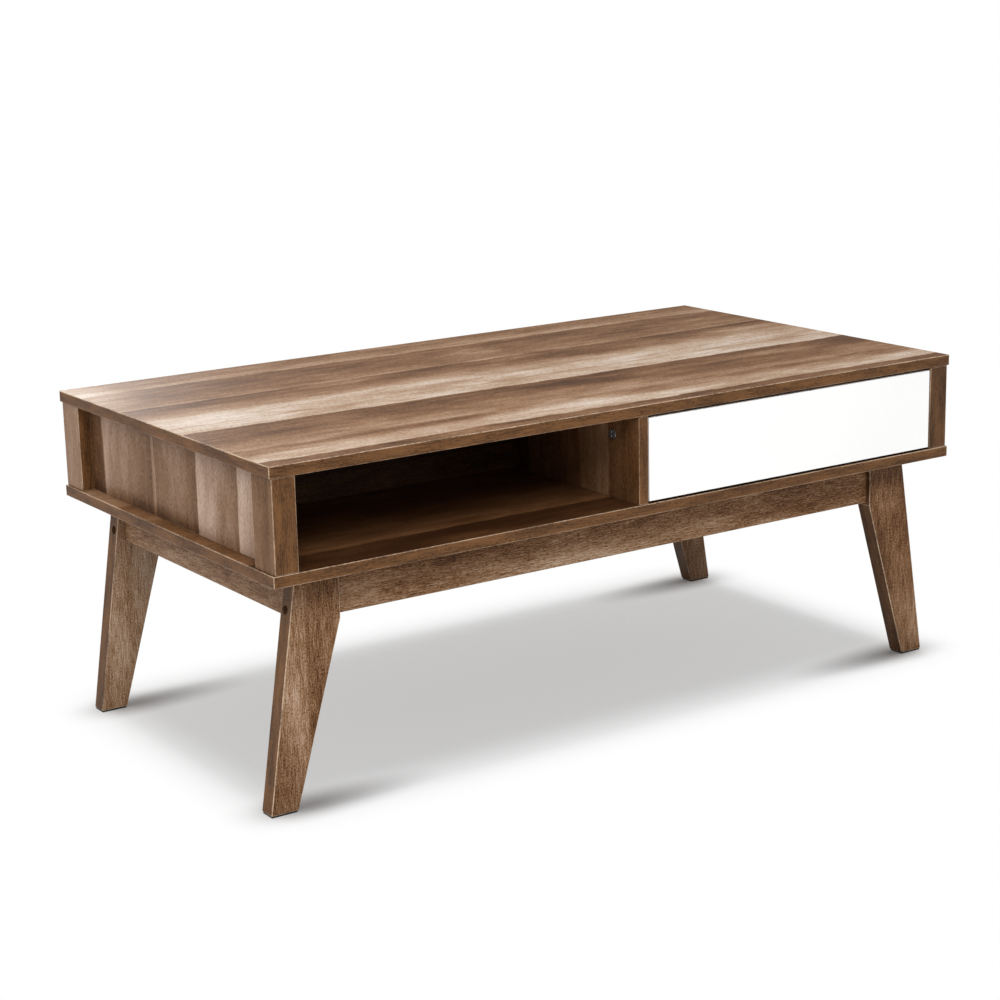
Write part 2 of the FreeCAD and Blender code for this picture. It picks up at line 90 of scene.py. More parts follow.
class Graph:
    """A node tree that is filled from empty."""

    def __init__(self, owner: bpy.types.ID) -> None:
        """Takes a node tree and empties it.

        Args:
            owner: the new material or world that the tree belongs to.
        """
        owner.use_nodes = True
        self.tree = owner.node_tree
        self.tree.nodes.clear()

    def add(self, kind: str, inputs: dict | tuple = (), stops: Stops | None = None,
            **settings: object) -> bpy.types.Node:
        """Adds one node with its settings and links.

        Args:
            kind: the node's type without the ShaderNode prefix.
            inputs: values, sockets, or nodes whose first live output is linked, in order or by their keys.
            stops: a colour ramp's places and colours, in rising order.
            settings: the node's own properties.
        Returns:
            The new node.
        """
        node = self.tree.nodes.new("ShaderNode" + kind)
        for name, value in settings.items():
            setattr(node, name, value)
        for number, (place, colour) in enumerate(stops or []):
            elements = node.color_ramp.elements
            element = elements[number] if number < len(elements) else elements.new(1.0)
            element.position = place
            element.color = colour
        self.feed(node, inputs)
        return node

    def feed(self, node: bpy.types.Node, inputs: dict | tuple) -> None:
        """Sets or links a node's inputs.

        Args:
            node: the node.
            inputs: its inputs, as for add.
        """
        for key, value in inputs.items() if isinstance(inputs, dict) else enumerate(inputs):
            if isinstance(value, bpy.types.Node):
                value = next(output for output in value.outputs if output.enabled)
            if isinstance(value, bpy.types.NodeSocket):
                self.tree.links.new(value, node.inputs[key])
            else:
                node.inputs[key].default_value = value

    def speckle(self, place: object, spot_mm: tuple[float, ...], detail: float = 2.0,
                twist: float = 0.0) -> bpy.types.Node:
        """Adds noise whose spots have a real size.

        Args:
            place: the coordinates, in metres.
            spot_mm: a spot's size along each coordinate, the last one for those that are left.
            detail: octaves of finer noise.
            twist: how far the spots are pulled out of shape.
        Returns:
            The noise node.
        """
        sizes = (*spot_mm, spot_mm[-1], spot_mm[-1])[:3]
        spread = self.add("VectorMath", (place, [1 / (size * MM) for size in sizes]), operation="MULTIPLY")
        return self.add("TexNoise", {"Vector": spread, "Scale": 1.0, "Detail": detail, "Distortion": twist})

    def total(self, start: object, *terms: tuple[object, float]) -> object:
        """Adds to a value how far each term is from one half, times its weight.

        Args:
            start: the value.
            terms: pairs of a term and its weight.
        Returns:
            The node that gives the sum.
        """
        for term, weight in terms:
            centred = self.add("Math", (term, weight, -weight / 2), operation="MULTIPLY_ADD")
            start = self.add("Math", (start, centred), operation="ADD")
        return start

    def spot(self, place: object, centre: Triple, size: Triple, core: float) -> bpy.types.Node:
        """Adds an oval that is 1 in its core and fades to 0 at its rim.

        Args:
            place: the coordinates, in metres.
            centre: the oval's middle, in metres.
            size: its half sizes, in metres.
            core: share of the half size that is full.
        Returns:
            The node that gives the oval.
        """
        moved = self.add("VectorMath", (place, centre), operation="SUBTRACT")
        scaled = self.add("VectorMath", (moved, [1 / half for half in size]), operation="MULTIPLY")
        reach = self.add("VectorMath", (scaled,), operation="LENGTH")
        return self.add("MapRange", (reach, core, 1.0, 1.0, 0.0), interpolation_type="SMOOTHSTEP")


class MaterialGraph(Graph):
    """A new material's node tree, with a principled shader that is already linked to the output."""

    def __init__(self, name: str) -> None:
        """Makes the material.

        Args:
            name: its name.
        """
        self.material = bpy.data.materials.new(name)
        super().__init__(self.material)
        self.shader = self.add("BsdfPrincipled")
        self.output = self.add("OutputMaterial", {"Surface": self.shader})


@dataclass(frozen=True)
class Plank:
    """One plank of the printed pattern, across the grain: its two edges and the tone at each."""

    first_mm: float
    last_mm: float
    first_tone: float
    last_tone: float


@dataclass(frozen=True)
class Patch:
    """A paler or darker stretch of the print: its middle and half sizes along and across the grain."""

    along_mm: float
    across_mm: float
    half_length_mm: float
    half_width_mm: float
    tone: float


def planks(*rows: tuple[float, ...]) -> tuple[Plank, ...]:
    """Makes a print's planks, each from a row of its two edges and their tones."""
    return tuple(Plank(*row) for row in rows)


def patches(*rows: tuple[float, ...]) -> tuple[Patch, ...]:
    """Makes a print's patches, each from a row of its middle, half sizes and tone."""
    return tuple(Patch(*row) for row in rows)


# Tones of the print in even steps, from the darkest plank edge to the palest sapwood: as it is, darkened for
# the back panels as painted shade inside the cubby, greyed for the upright boards, and a little warmer for
# the foil of legs and aprons.
OAK_PALETTE = ("#361f0f", "#5a3b22", "#7b583b", "#9a7a5f", "#b69e88", "#d4c6ba")
BACK_SHADE_PALETTE = ("#160d07", "#2c1a0e", "#4e3521", "#74543a", "#967459", "#b3947a")
GREYED_PALETTE = ("#382212", "#5b3e27", "#7b5c42", "#9a7d69", "#b79c89", "#d2bdac")
FOIL_PALETTE = ("#341d0c", "#58381f", "#7a5638", "#99795d", "#b4987f", "#d0bba8")

# Real fibres and pores are 0.2 to 0.4 mm wide. They are drawn coarser, or they wouldn't show.
FIBRE_MM = (20, 1.4)
GRIT_MM = (5.0, 1.5)


@dataclass(frozen=True)
class WoodSkin:
    """What all oak prints share: dark pores, a pale edge line, partly trimmed rim and partly painted
    highlight, and an embossed relief.
    """

    pore: float
    pore_colour: str = "#332012"
    pore_span: Pair = (0.50, 0.75)
    trim_colour: str = "#c6ae95"
    trim_raggedness: float = 0.8
    trim_span: Pair = (0.3, 0.7)
    trim_share: Pair = (0.15, 0.95)
    fibre_relief: float = 0.5
    pore_relief: float = -0.8
    relief_strength: float = 0.35
    relief_mm: float = 0.12

    def dress(self, graph: MaterialGraph, wood: object, fibre: object, grit: object, patchy: object) -> None:
        """Adds the surface to a wood colour.

        Args:
            graph: the material.
            wood: the colour without pores.
            fibre: noise of the fibres.
            grit: noise of the pores.
            patchy: noise by which the pale line comes and goes.
        """
        fleck = graph.add("MapRange", (grit, *self.pore_span, 0.0, self.pore))
        pore = linear(self.pore_colour)
        pored = graph.add("Mix", {MIX_FACTOR: fleck, MIX_A: wood, MIX_B: pore}, data_type="RGBA")
        # The pale line along edges: partly the trimmed paper's own pale rim, partly painted highlight where
        # the rounded edge catches light.
        edge = graph.add("Attribute", attribute_name=EDGE_ATTRIBUTE).outputs["Fac"]
        ragged = graph.total(patchy, (grit, self.trim_raggedness))
        broken = graph.add("MapRange", (ragged, *self.trim_span, *self.trim_share))
        trimmed = graph.add("Math", (edge, broken), operation="MULTIPLY")
        trim = linear(self.trim_colour)
        edged = graph.add("Mix", {MIX_FACTOR: trimmed, MIX_A: pored, MIX_B: trim}, data_type="RGBA")
        relief = graph.total(0.5, (fibre, self.fibre_relief), (fleck, self.pore_relief))
        relief_inputs = {"Height": relief, "Strength": self.relief_strength, "Distance": self.relief_mm * MM}
        graph.feed(graph.shader, {"Base Color": edged, "Normal": graph.add("Bump", relief_inputs)})


@dataclass(frozen=True)
class OakPrint:
    """Melamine board with a printed rustic oak pattern.

    To the eye: long planks with one sharp, frayed edge that fade across their width and come and go along it,
    feathered flames, a dense fine fibre with faint saw ripples, and an embossed overlay that is nearly matt.
    Each part of the pattern has a strength, and a size in mm along and across the grain.
    """

    name: str
    planks: tuple[Plank, ...]
    patches: tuple[Patch, ...] = ()
    palette: Palette = OAK_PALETTE
    surge: Pair = (0.45, 1.15)
    cloud: float = 0.34
    flame: float = 0.30
    fibre: float = 0.36
    grit: float = 0.55
    ripple: float = 0.0
    pore: float = 0.20
    sheen: float = 0.10
    roughness: float = 0.5
    unevenness: float = 0.10
    drift_mm: Pair = (380, 130)
    surge_mm: Pair = (210, 70)
    surge_span: Pair = (0.35, 0.6)
    cloud_mm: Pair = (130, 44)
    flame_mm: Pair = (75, 14)
    flame_twist: float = 0.7
    ripple_mm: Pair = (4.0, 14)
    grit_mm: Pair = GRIT_MM
    wander_mm: Triple = (18, 8, 7)
    patch_core: float = 0.1

    def tones(self) -> tuple[float, float, Stops]:
        """Turns the planks to a ramp.

        Returns:
            Where the pattern begins and ends across the grain, in metres, and its tones as stops.
        """
        ends = [(plank.first_mm, plank.first_tone) for plank in self.planks]
        ends += [(plank.last_mm, plank.last_tone) for plank in self.planks]
        ends.sort()
        low, high = ends[0][0], ends[-1][0]
        stops = [((place - low) / (high - low), (tone, tone, tone, 1.0)) for place, tone in ends]
        return low * MM, high * MM, stops

    @cache
    def material(self) -> bpy.types.Material:
        """Builds the node material once, on the board's own print coordinates.

        Returns:
            The material.
        """
        graph = MaterialGraph(self.name)
        place = graph.add("UVMap", uv_map=PRINT_UV)
        across = graph.add("SeparateXYZ", (place,)).outputs["Y"]
        drift = graph.speckle(place, self.drift_mm)
        surge = graph.speckle(place, self.surge_mm)
        cloud = graph.speckle(place, self.cloud_mm, detail=3.0)
        flame = graph.speckle(place, self.flame_mm, detail=3.0, twist=self.flame_twist)
        ripple = graph.speckle(place, self.ripple_mm, detail=1.0)
        fibre = graph.speckle(place, FIBRE_MM, detail=3.0)
        grit = graph.speckle(place, self.grit_mm)
        low, high, stops = self.tones()
        reaches = [reach * MM for reach in self.wander_mm]
        wandered = graph.total(across, *zip((drift, flame, fibre), reaches))
        bands = graph.add("ValToRGB", (graph.add("MapRange", (wandered, low, high)),), stops)
        swell = graph.add("MapRange", (surge, *self.surge_span, *self.surge))
        spread = graph.add("Math", (bands, 0.5), operation="SUBTRACT")
        tone = graph.add("Math", (spread, swell, 0.5), operation="MULTIPLY_ADD")
        tone = graph.total(tone, (cloud, self.cloud), (flame, self.flame), (ripple, self.ripple))
        tone = graph.total(tone, (fibre, self.fibre), (grit, self.grit))
        for patch in self.patches:
            centre = (patch.along_mm * MM, patch.across_mm * MM, 0)
            size = (patch.half_length_mm * MM, patch.half_width_mm * MM, 1)
            oval = graph.spot(place, centre, size, self.patch_core)
            tone = graph.add("Math", (oval, patch.tone, tone), operation="MULTIPLY_ADD")
        steps = [number / (len(self.palette) - 1) for number in range(len(self.palette))]
        wood = graph.add("ValToRGB", (tone,), list(zip(steps, map(linear, self.palette))))
        WoodSkin(self.pore).dress(graph, wood, fibre, grit, flame)
        gloss = graph.total(self.roughness, (fibre, self.unevenness), (grit, self.unevenness))
        graph.feed(graph.shader, {"Roughness": gloss, "IOR": RESIN_IOR, "Specular IOR Level": self.sheen})
        return graph.material


@dataclass(frozen=True)
class OakEdging:
    """Printed edge tape of melamine paper.

    To the eye: a narrow band with streaks along the edge, darker than the faces, and pale at trimmed corners,
    partly as painted highlight.
    """

    name: str
    dark: str
    pale: str
    cloud: float = 1.6
    fibre: float = 1.4
    grit: float = 1.6
    pore: float = 0.3
    sheen: float = 0.15
    roughness: float = 0.5
    unevenness: float = 0.12
    cloud_mm: Pair = (70, 14)
    tone_span: Pair = (0.15, 0.85)

    @cache
    def material(self) -> bpy.types.Material:
        """Builds the node material once, with the grain along the board's rim.

        Returns:
            The material.
        """
        graph = MaterialGraph(self.name)
        place = graph.add("UVMap", uv_map=PRINT_UV)
        cloud = graph.speckle(place, self.cloud_mm)
        fibre = graph.speckle(place, FIBRE_MM, detail=3.0)
        grit = graph.speckle(place, GRIT_MM)
        tone = graph.total(0.5, (cloud, self.cloud), (fibre, self.fibre), (grit, self.grit))
        wood = graph.add("ValToRGB", (tone,), list(zip(self.tone_span, map(linear, (self.dark, self.pale)))))
        WoodSkin(self.pore).dress(graph, wood, fibre, grit, cloud)
        gloss = graph.total(self.roughness, (fibre, self.unevenness))
        graph.feed(graph.shader, {"Roughness": gloss, "IOR": RESIN_IOR, "Specular IOR Level": self.sheen})
        return graph.material


@dataclass(frozen=True)
class Coating:
    """A plain finish that is never quite even: two close colours in patches, a fine grit and uneven gloss."""

    name: str
    base: str
    tint: str
    patch_mm: tuple[float, ...]
    grit_mm: tuple[float, ...]
    roughness: float
    unevenness: float = 0.06
    relief_mm: float = 0.02
    metallic: float = 0.0
    patch_share: float = 0.9
    grit_share: float = 0.6
    relief_strength: float = 0.3

    @cache
    def material(self) -> bpy.types.Material:
        """Builds the node material once, on object coordinates.

        Returns:
            The material.
        """
        graph = MaterialGraph(self.name)
        place = graph.add("TexCoord").outputs["Object"]
        patch = graph.speckle(place, self.patch_mm)
        grit = graph.speckle(place, self.grit_mm)
        share = graph.total(0.5, (patch, self.patch_share), (grit, self.grit_share))
        colours = {MIX_FACTOR: share, MIX_A: linear(self.base), MIX_B: linear(self.tint)}
        relief = {"Height": grit, "Strength": self.relief_strength, "Distance": self.relief_mm * MM}
        graph.feed(graph.shader, {
            "Base Color": graph.add("Mix", colours, data_type="RGBA"),
            "Roughness": graph.total(self.roughness, (patch, self.unevenness), (grit, self.unevenness)),
            "Normal": graph.add("Bump", relief),
            "Metallic": self.metallic,
        })
        return graph.material


Finish = OakPrint | OakEdging | Coating

# The top's planks run from its rear edge to its front edge.
OAK_TOP = OakPrint(
    "oak_print_melamine_top",
    planks(
        (300, 262, 0.38, 0.44), (250, 231, 0.54, 0.66), (228, 170, 0.30, 0.34), (165, 114, 0.34, 0.46),
        (112, 109, 0.60, 0.60), (107, 78, 0.20, 0.28), (70, 34, 0.38, 0.62), (20, -36, 0.76, 0.80),
        (-38, -40, 0.66, 0.66), (-43, -77, 0.80, 0.86), (-79, -140, 0.22, 0.28), (-150, -203, 0.40, 0.58),
        (-205, -232, 0.42, 0.56), (-242, -274, 0.72, 0.80), (-277, -300, 0.25, 0.32),
    ),
    patches(
        (-230, 95, 90, 24, 0.24), (60, 95, 110, 24, 0.22), (50, 175, 70, 50, 0.20), (190, 205, 70, 24, -0.14),
        (430, 200, 130, 24, -0.12), (180, 52, 260, 36, -0.16), (480, 70, 120, 34, 0.24),
        (-60, -226, 170, 34, 0.22), (310, -168, 260, 30, -0.16), (-300, -218, 200, 18, -0.16),
        # The large pale patch at -560, 230, at the rear left corner, is painted sheen.
        (390, -115, 110, 30, 0.22), (-80, -120, 50, 22, 0.10), (-560, 230, 110, 150, 0.36),
        (-450, -12, 170, 60, 0.16), (20, -110, 180, 34, -0.14), (-110, 160, 120, 40, -0.07),
        (-440, 160, 90, 40, -0.07), (0, -45, 140, 34, -0.08), (30, -252, 130, 22, 0.07),
    ),
    surge=(0.7, 1.1), cloud=0.42, flame=0.5, fibre=0.45, grit=0.75, ripple=0.2, sheen=0.02,
)
OAK_END = OakPrint(
    "oak_print_melamine_end",
    planks(
        (300, 209, 0.16, 0.24), (207, 140, 0.66, 0.62), (130, 60, 0.54, 0.32), (58, 51, 0.66, 0.66),
        (49, 20, 0.38, 0.48), (0, -66, 0.52, 0.32), (-68, -110, 0.82, 0.76), (-118, -178, 0.64, 0.42),
        (-180, -300, 0.82, 0.76),
    ),
    # The dark stretch at 318 along, just above the bottom board, is painted shade.
    patches((318, 60, 24, 300, -0.24), (375, 0, 500, 900, -0.05)),
    GREYED_PALETTE, grit=0.8,
)
# The sheet of the bottom board, with a second stretch that the divider is cut from. Its planks are dark,
# partly the print and partly painted shade inside the cubby; the patches at both ends make the ledges beside
# the end panels paler again.
OAK_FLOOR = OakPrint(
    "oak_print_melamine_floor",
    planks(
        (900, 852, 0.04, 0.06), (850, 734, 0.22, 0.28), (732, 669, 0.42, 0.50), (667, 590, 0.28, 0.24),
        (300, 242, 0.24, 0.34), (240, 130, 0.44, 0.34), (128, 40, 0.20, 0.34), (38, -60, 0.20, 0.18),
        (-62, -150, 0.16, 0.18), (-152, -237, 0.18, 0.26), (-239, -300, 0.0, 0.04),
    ),
    patches((-550, 0, 40, 700, 0.12), (550, 0, 40, 700, 0.12)),
    surge=(0.9, 1.1),
)
# The back panels' print, painted dark as the shade at the back of the cubby.
SHADE_PAINTED_BACK = OakPrint(
    "oak_print_melamine_back",
    planks((310, 350, 0.30, 0.24), (352, 400, 0.16, 0.24), (402, 440, 0.22, 0.14)),
    palette=BACK_SHADE_PALETTE,
)
OAK_POST = OakPrint(
    "oak_print_melamine_plain",
    planks(
        (800, 610, 0.56, 0.50), (608, 430, 0.46, 0.40), (428, 330, 0.34, 0.46), (328, 190, 0.42, 0.36),
        (188, 80, 0.48, 0.42), (78, -60, 0.36, 0.46), (-62, -190, 0.36, 0.30), (-192, -330, 0.38, 0.42),
    ),
    palette=GREYED_PALETTE,
)
# All four legs are cut from one sheet, 1 m apart along its grain.
OAK_LEG = OakPrint(
    "oak_print_foil_leg",
    planks(
        (-20, 25, 0.42, 0.46), (28, 57, 0.46, 0.54), (58, 130, 0.32, 0.28), (140, 195, 0.56, 0.60),
        (197, 280, 0.58, 0.52), (290, 340, 0.36, 0.30), (345, 430, 0.26, 0.22), (440, 490, 0.46, 0.52),
        (492, 580, 0.42, 0.48),
    ),
    # The darker patches at the tops of the two front legs, at 300 and 2300 along, are painted shade under the
    # bottom board.
    patches(
        (300, 80, 60, 90, -0.16), (160, 40, 80, 40, 0.13), (20, 20, 80, 60, -0.06),
        (2300, 370, 70, 120, -0.16), (2040, 330, 90, 80, 0.16), (1150, 215, 170, 90, 0.12),
    ),
    FOIL_PALETTE, flame=0.5, fibre=1.0, grit=1.4, pore=0.4, grit_mm=(2.6, 1.3),
)
OAK_APRON = OakPrint(
    "oak_print_foil_rail",
    # The rail darkens towards its top edge, from 263 to 310 across: painted shade under the bottom board.
    planks((235, 262, 0.56, 0.46), (263, 310, 0.46, 0.15)),
    patches((3400, 248, 220, 18, 0.12), (3830, 255, 200, 30, -0.21), (3190, 250, 170, 26, -0.06)),
    FOIL_PALETTE, flame=0.6, fibre=1.0, grit=1.2, pore=0.4,
)
EDGING = OakEdging("oak_print_edge_tape", "#452c17", "#744f2e")
# The same tape painted darker, as shade, for the legs and posts at the right end, where less light falls.
SHADE_PAINTED_EDGING = OakEdging("oak_print_dark_edge_tape", "#3b2613", "#65452a")
# Particle board where it is bored: pressed chips, orange brown and rough.
BORED_BOARD = Coating("bored_particle_board", "#6b4526", "#3a2212", (3.0,), (0.9,), 0.85, relief_mm=0.2)
# Sprayed lacquer: even white with a soft shine and a faint orange peel.
LACQUER = Coating("white_sprayed_lacquer", "#fbfbfa", "#f5f5f3", (120,), (3.0,), 0.36, 0.04)
# Melamine on particle board: slightly warm white with a fine pearl texture.
MELAMINE = Coating("white_melamine", "#eceae6", "#e1dfd9", (60,), (1.5,), 0.5)
# Lacquered hardboard: duller, with the press felt's faint grain.
HARDBOARD = Coating("white_faced_hardboard", "#e4e2dd", "#d6d3cc", (40,), (1.2,), 0.6)
# Epoxy powder on sheet steel: off-white with a fine pebbled skin.
POWDER_COAT = Coating("epoxy_powder_coat", "#e8e8e4", "#d9d9d4", (30,), (0.8,), 0.42, relief_mm=0.05)
# Moulded nylon: milky, with cloudy patches.
NYLON = Coating("moulded_nylon", "#dcdad2", "#cbc8bd", (12,), (0.7,), 0.5)
# Moulded ABS: plain grey with a spark-eroded matt skin.
GREY_ABS = Coating("moulded_grey_abs", "#9c9c9a", "#8a8a88", (12,), (0.6,), 0.52, relief_mm=0.04)
# Zinc plate: silvery, cloudy in patches, and never quite polished.
ZINC_PLATE = Coating("zinc_plated_steel", "#c4c5c8", "#a6a8ac", (5,), (0.5,), 0.36, 0.12, metallic=1.0)
# Die-cast zinc alloy with a dull oxide skin, so only half like a mirror; its dark grey is painted shade on
# the cam's flats.
SHADE_PAINTED_ZINC = Coating("dull_diecast_zinc", "#77726b", "#55514c", (4,), (0.5,), 0.55, 0.10, metallic=0.4)
# The driver recess in a screw or cam: steel painted darker, as the shade inside the recess.
SHADED_RECESS_STEEL = Coating("oily_steel_recess", "#4a4a4b", "#333334", (2,), (0.4,), 0.5, 0.10, metallic=1.0)
# Moulded rubbery plastic: matt black with a fine grain.
BLACK_PAD = Coating("black_moulded_pad", "#161616", "#242423", (8,), (0.8,), 0.8, 0.05, 0.10)
# Planed timber: pale early wood with darker streaks along the grain.
PINE = Coating("planed_pine", "#cda878", "#b08551", (4.0, 4.0, 60), (1.0, 1.0, 14), 0.6, relief_mm=0.1)
# Turned beech: even and warm, with short flecks.
BEECH = Coating("fluted_beech", "#c49c6f", "#a77f53", (2.5,), (0.8,), 0.6, relief_mm=0.1)


class Axis(Enum):
    """The frame's axes, by their place in a coordinate."""

    X = 0
    Y = 1
    Z = 2


class Side(StrEnum):
    """Left and right, as the nodes' names say them."""

    LEFT = "left"
    RIGHT = "right"


class End(StrEnum):
    """The long side that a drawer opens to, as the nodes' names say it."""

    FRONT = "front"
    REAR = "rear"


@dataclass(frozen=True)
class Shell:
    """A closed surface as whole arrays.

    The corners' places and edge shares, the faces' corner numbers in one row, each face's count of corners
    and finish number, and the print place of each face corner.
    """

    corners: np.ndarray
    edge: np.ndarray
    numbers: np.ndarray
    counts: np.ndarray
    finish: np.ndarray
    places: np.ndarray

    @classmethod
    def joined(cls, parts: list["Shell"]) -> "Shell":
        """Puts several shells into one.

        Args:
            parts: the shells.
        Returns:
            One shell with all their faces.
        """
        starts = np.cumsum([0] + [len(part.corners) for part in parts])
        numbers = np.concatenate([part.numbers + start for part, start in zip(parts, starts)])
        names = ("corners", "edge", "counts", "finish", "places")
        arrays = {name: np.concatenate([getattr(part, name) for part in parts]) for name in names}
        return cls(numbers=numbers, **arrays)

    @classmethod
    def from_grid(cls, points: np.ndarray, finish: np.ndarray, share: np.ndarray | None = None,
                  places: np.ndarray | None = None, caps: np.ndarray | None = None,
                  looped: bool = False) -> "Shell":
        """Joins rings of points, and drops the faces that have closed up to nothing.

        Each face joins neighbours i and i + 1 of ring j to those of ring j + 1.

        Args:
            points: rings of points, each of which closes on itself.
            finish: finish number of each strip between two rings.
            share: each point's share of the edge's pale line.
            places: print place of each strip face's corners.
            caps: faces that close the first and last ring, as ring positions.
            looped: whether the last ring joins the first.
        Returns:
            The shell.
        """
        rows, columns = points.shape[:2]
        strips = rows if looped else rows - 1
        row, column = np.meshgrid(np.arange(strips), np.arange(columns), indexing="ij")
        at_row = np.stack([row, row, row + 1, row + 1], -1) % rows
        at_column = np.stack([column, column + 1, column + 1, column], -1) % columns
        flat = points.reshape(-1, 3)
        keys = np.round(flat / SAME_POINT).astype(np.int64)
        _, first, same = np.unique(keys, axis=0, return_index=True, return_inverse=True)
        same = same.reshape(-1)
        quads = same[(at_row * columns + at_column).reshape(-1, 4)]
        kept = quads != np.roll(quads, -1, 1)
        sides = kept.sum(1)
        kept &= sides[:, None] > 2
        spots = np.zeros((*quads.shape, 2)) if places is None else places.reshape(-1, 4, 2)
        numbers, counts = [quads[kept]], [sides[sides > 2]]
        finishes, printed = [np.repeat(finish, columns)[sides > 2]], [spots[kept]]
        if caps is not None:
            for ring, way in ((0, -1), (rows - 1, 1)):
                cap = ring * columns + caps[:, ::way]
                numbers.append(same[cap].ravel())
                counts.append(np.full(len(caps), caps.shape[1]))
                finishes.append(np.full(len(caps), FACE))
                printed.append(flat[cap.ravel()][:, :2])
        edge = np.zeros(len(flat)) if share is None else share.ravel()
        parts = (np.concatenate(arrays) for arrays in (numbers, counts, finishes, printed))
        return cls(flat[first], edge[first], *parts)

    def flipped(self) -> "Shell":
        """Turns every face to its other side.

        Returns:
            The turned shell.
        """
        starts = np.repeat(np.cumsum(self.counts) - self.counts, self.counts)
        ends = np.repeat(np.cumsum(self.counts), self.counts) - 1
        order = starts + ends - np.arange(len(self.numbers))
        return replace(self, numbers=self.numbers[order], places=self.places[order])

    def bored(self, way: np.ndarray, middle: np.ndarray, radius: float, depth: float, finish: int) -> "Shell":
        """Bores a blind round hole into the four-sided face that shows most area the given way.

        The rim is middle + radius (cos(t) u + sin(t) v), moved along the way onto the face, and the floor is
        the same ring at one depth. The face becomes two, with a seam from its first and its third corner to
        the nearest points of the rim.

        Args:
            way: unit direction out of the hole, along one of the axes.
            middle: a point on the hole's middle line.
            radius: its radius.
            depth: how far beyond that point the hole's floor lies.
            finish: finish number of its wall and floor.
        Returns:
            The shell with the hole.
        """
        faces = np.flatnonzero(self.counts == 4)
        spots = (np.cumsum(self.counts) - self.counts)[faces][:, None] + np.arange(4)
        loops = self.numbers[spots]
        first, second, third, fourth = np.moveaxis(self.corners[loops], 1, 0)
        normals = np.cross(third - first, fourth - second)
        best = int((normals @ way).argmax())
        face, spot, loop, normal = faces[best], spots[best], loops[best], normals[best]
        u = np.roll(np.abs(way), 1)
        v = np.cross(way, u)
        angles = turning_angles()
        ring = middle + radius * (np.cos(angles)[:, None] * u + np.sin(angles)[:, None] * v)
        lift = (first[best] - ring) @ normal / (way @ normal)
        rim, floor = ring + lift[:, None] * way, ring - depth * way
        count = len(ring)
        near, far = (int(np.linalg.norm(rim - end[best], axis=1).argmin()) for end in (first, third))
        number = len(self.corners) + np.arange(count)
        ahead = np.roll(number, -1)
        halves = []
        for pick, start, end in (([0, 1, 2], far, near), ([2, 3, 0], near, far)):
            back = (start - np.arange((start - end) % count + 1)) % count
            halves.append(np.concatenate([loop[pick], number[back]]))
        wall = np.stack([number, ahead, ahead + count, number + count], -1).ravel()
        corners = np.concatenate([self.corners, rim, floor])
        laid = np.linalg.lstsq(np.c_[self.corners[loop], np.ones(4)], self.places[spot], rcond=None)[0]
        printed = [np.c_[corners[half], np.ones(len(half))] @ laid for half in halves]
        kept = np.delete(np.arange(len(self.counts)), face)
        half_counts = [len(half) for half in halves]
        return Shell(
            corners,
            np.concatenate([self.edge, np.zeros(2 * count)]),
            np.concatenate([np.delete(self.numbers, spot), *halves, wall, number + count]),
            np.concatenate([self.counts[kept], half_counts, np.full(count, 4), [count]]),
            np.concatenate([self.finish[kept], [self.finish[face]] * 2, np.full(count + 1, finish)]),
            np.concatenate([np.delete(self.places, spot, 0), *printed, np.zeros((5 * count, 2))]),
        )

    def stood(self, along: Axis, across: Axis, through: Axis) -> "Shell":
        """Turns the shell into the frame, with its faces outwards.

        Args:
            along: the frame's axis for its first coordinate.
            across: the one for its second.
            through: the one for its third.
        Returns:
            The turned shell.
        """
        axes = [along.value, across.value, through.value]
        placed = np.empty_like(self.corners)
        placed[:, axes] = self.corners
        turned_shell = replace(self, corners=placed)
        return turned_shell if np.linalg.det(np.eye(3)[axes]) > 0 else turned_shell.flipped()

    def mesh(self, name: str) -> bpy.types.Mesh:
        """Puts the arrays into a mesh, smooth but for its sharp edges.

        Args:
            name: the mesh's name.
        Returns:
            The mesh, with its print map and its edge shares.
        """
        mesh = bpy.data.meshes.new(name)
        mesh.vertices.add(len(self.corners))
        mesh.vertices.foreach_set("co", self.corners.astype(np.float32).ravel())
        mesh.loops.add(len(self.numbers))
        mesh.loops.foreach_set("vertex_index", self.numbers.astype(np.int32))
        mesh.polygons.add(len(self.counts))
        mesh.polygons.foreach_set("loop_start", (np.cumsum(self.counts) - self.counts).astype(np.int32))
        mesh.polygons.foreach_set("material_index", self.finish.astype(np.int32))
        mesh.polygons.foreach_set("use_smooth", np.ones(len(self.counts), bool))
        mesh.update(calc_edges=True)
        layer = mesh.uv_layers.new(name=PRINT_UV)
        layer.uv.foreach_set("vector", self.places.astype(np.float32).ravel())
        shares = mesh.attributes.new(EDGE_ATTRIBUTE, "FLOAT", "POINT")
        shares.data.foreach_set("value", self.edge.astype(np.float32))
        mesh.set_sharp_from_angle(angle=SHARP_ANGLE)
        return mesh


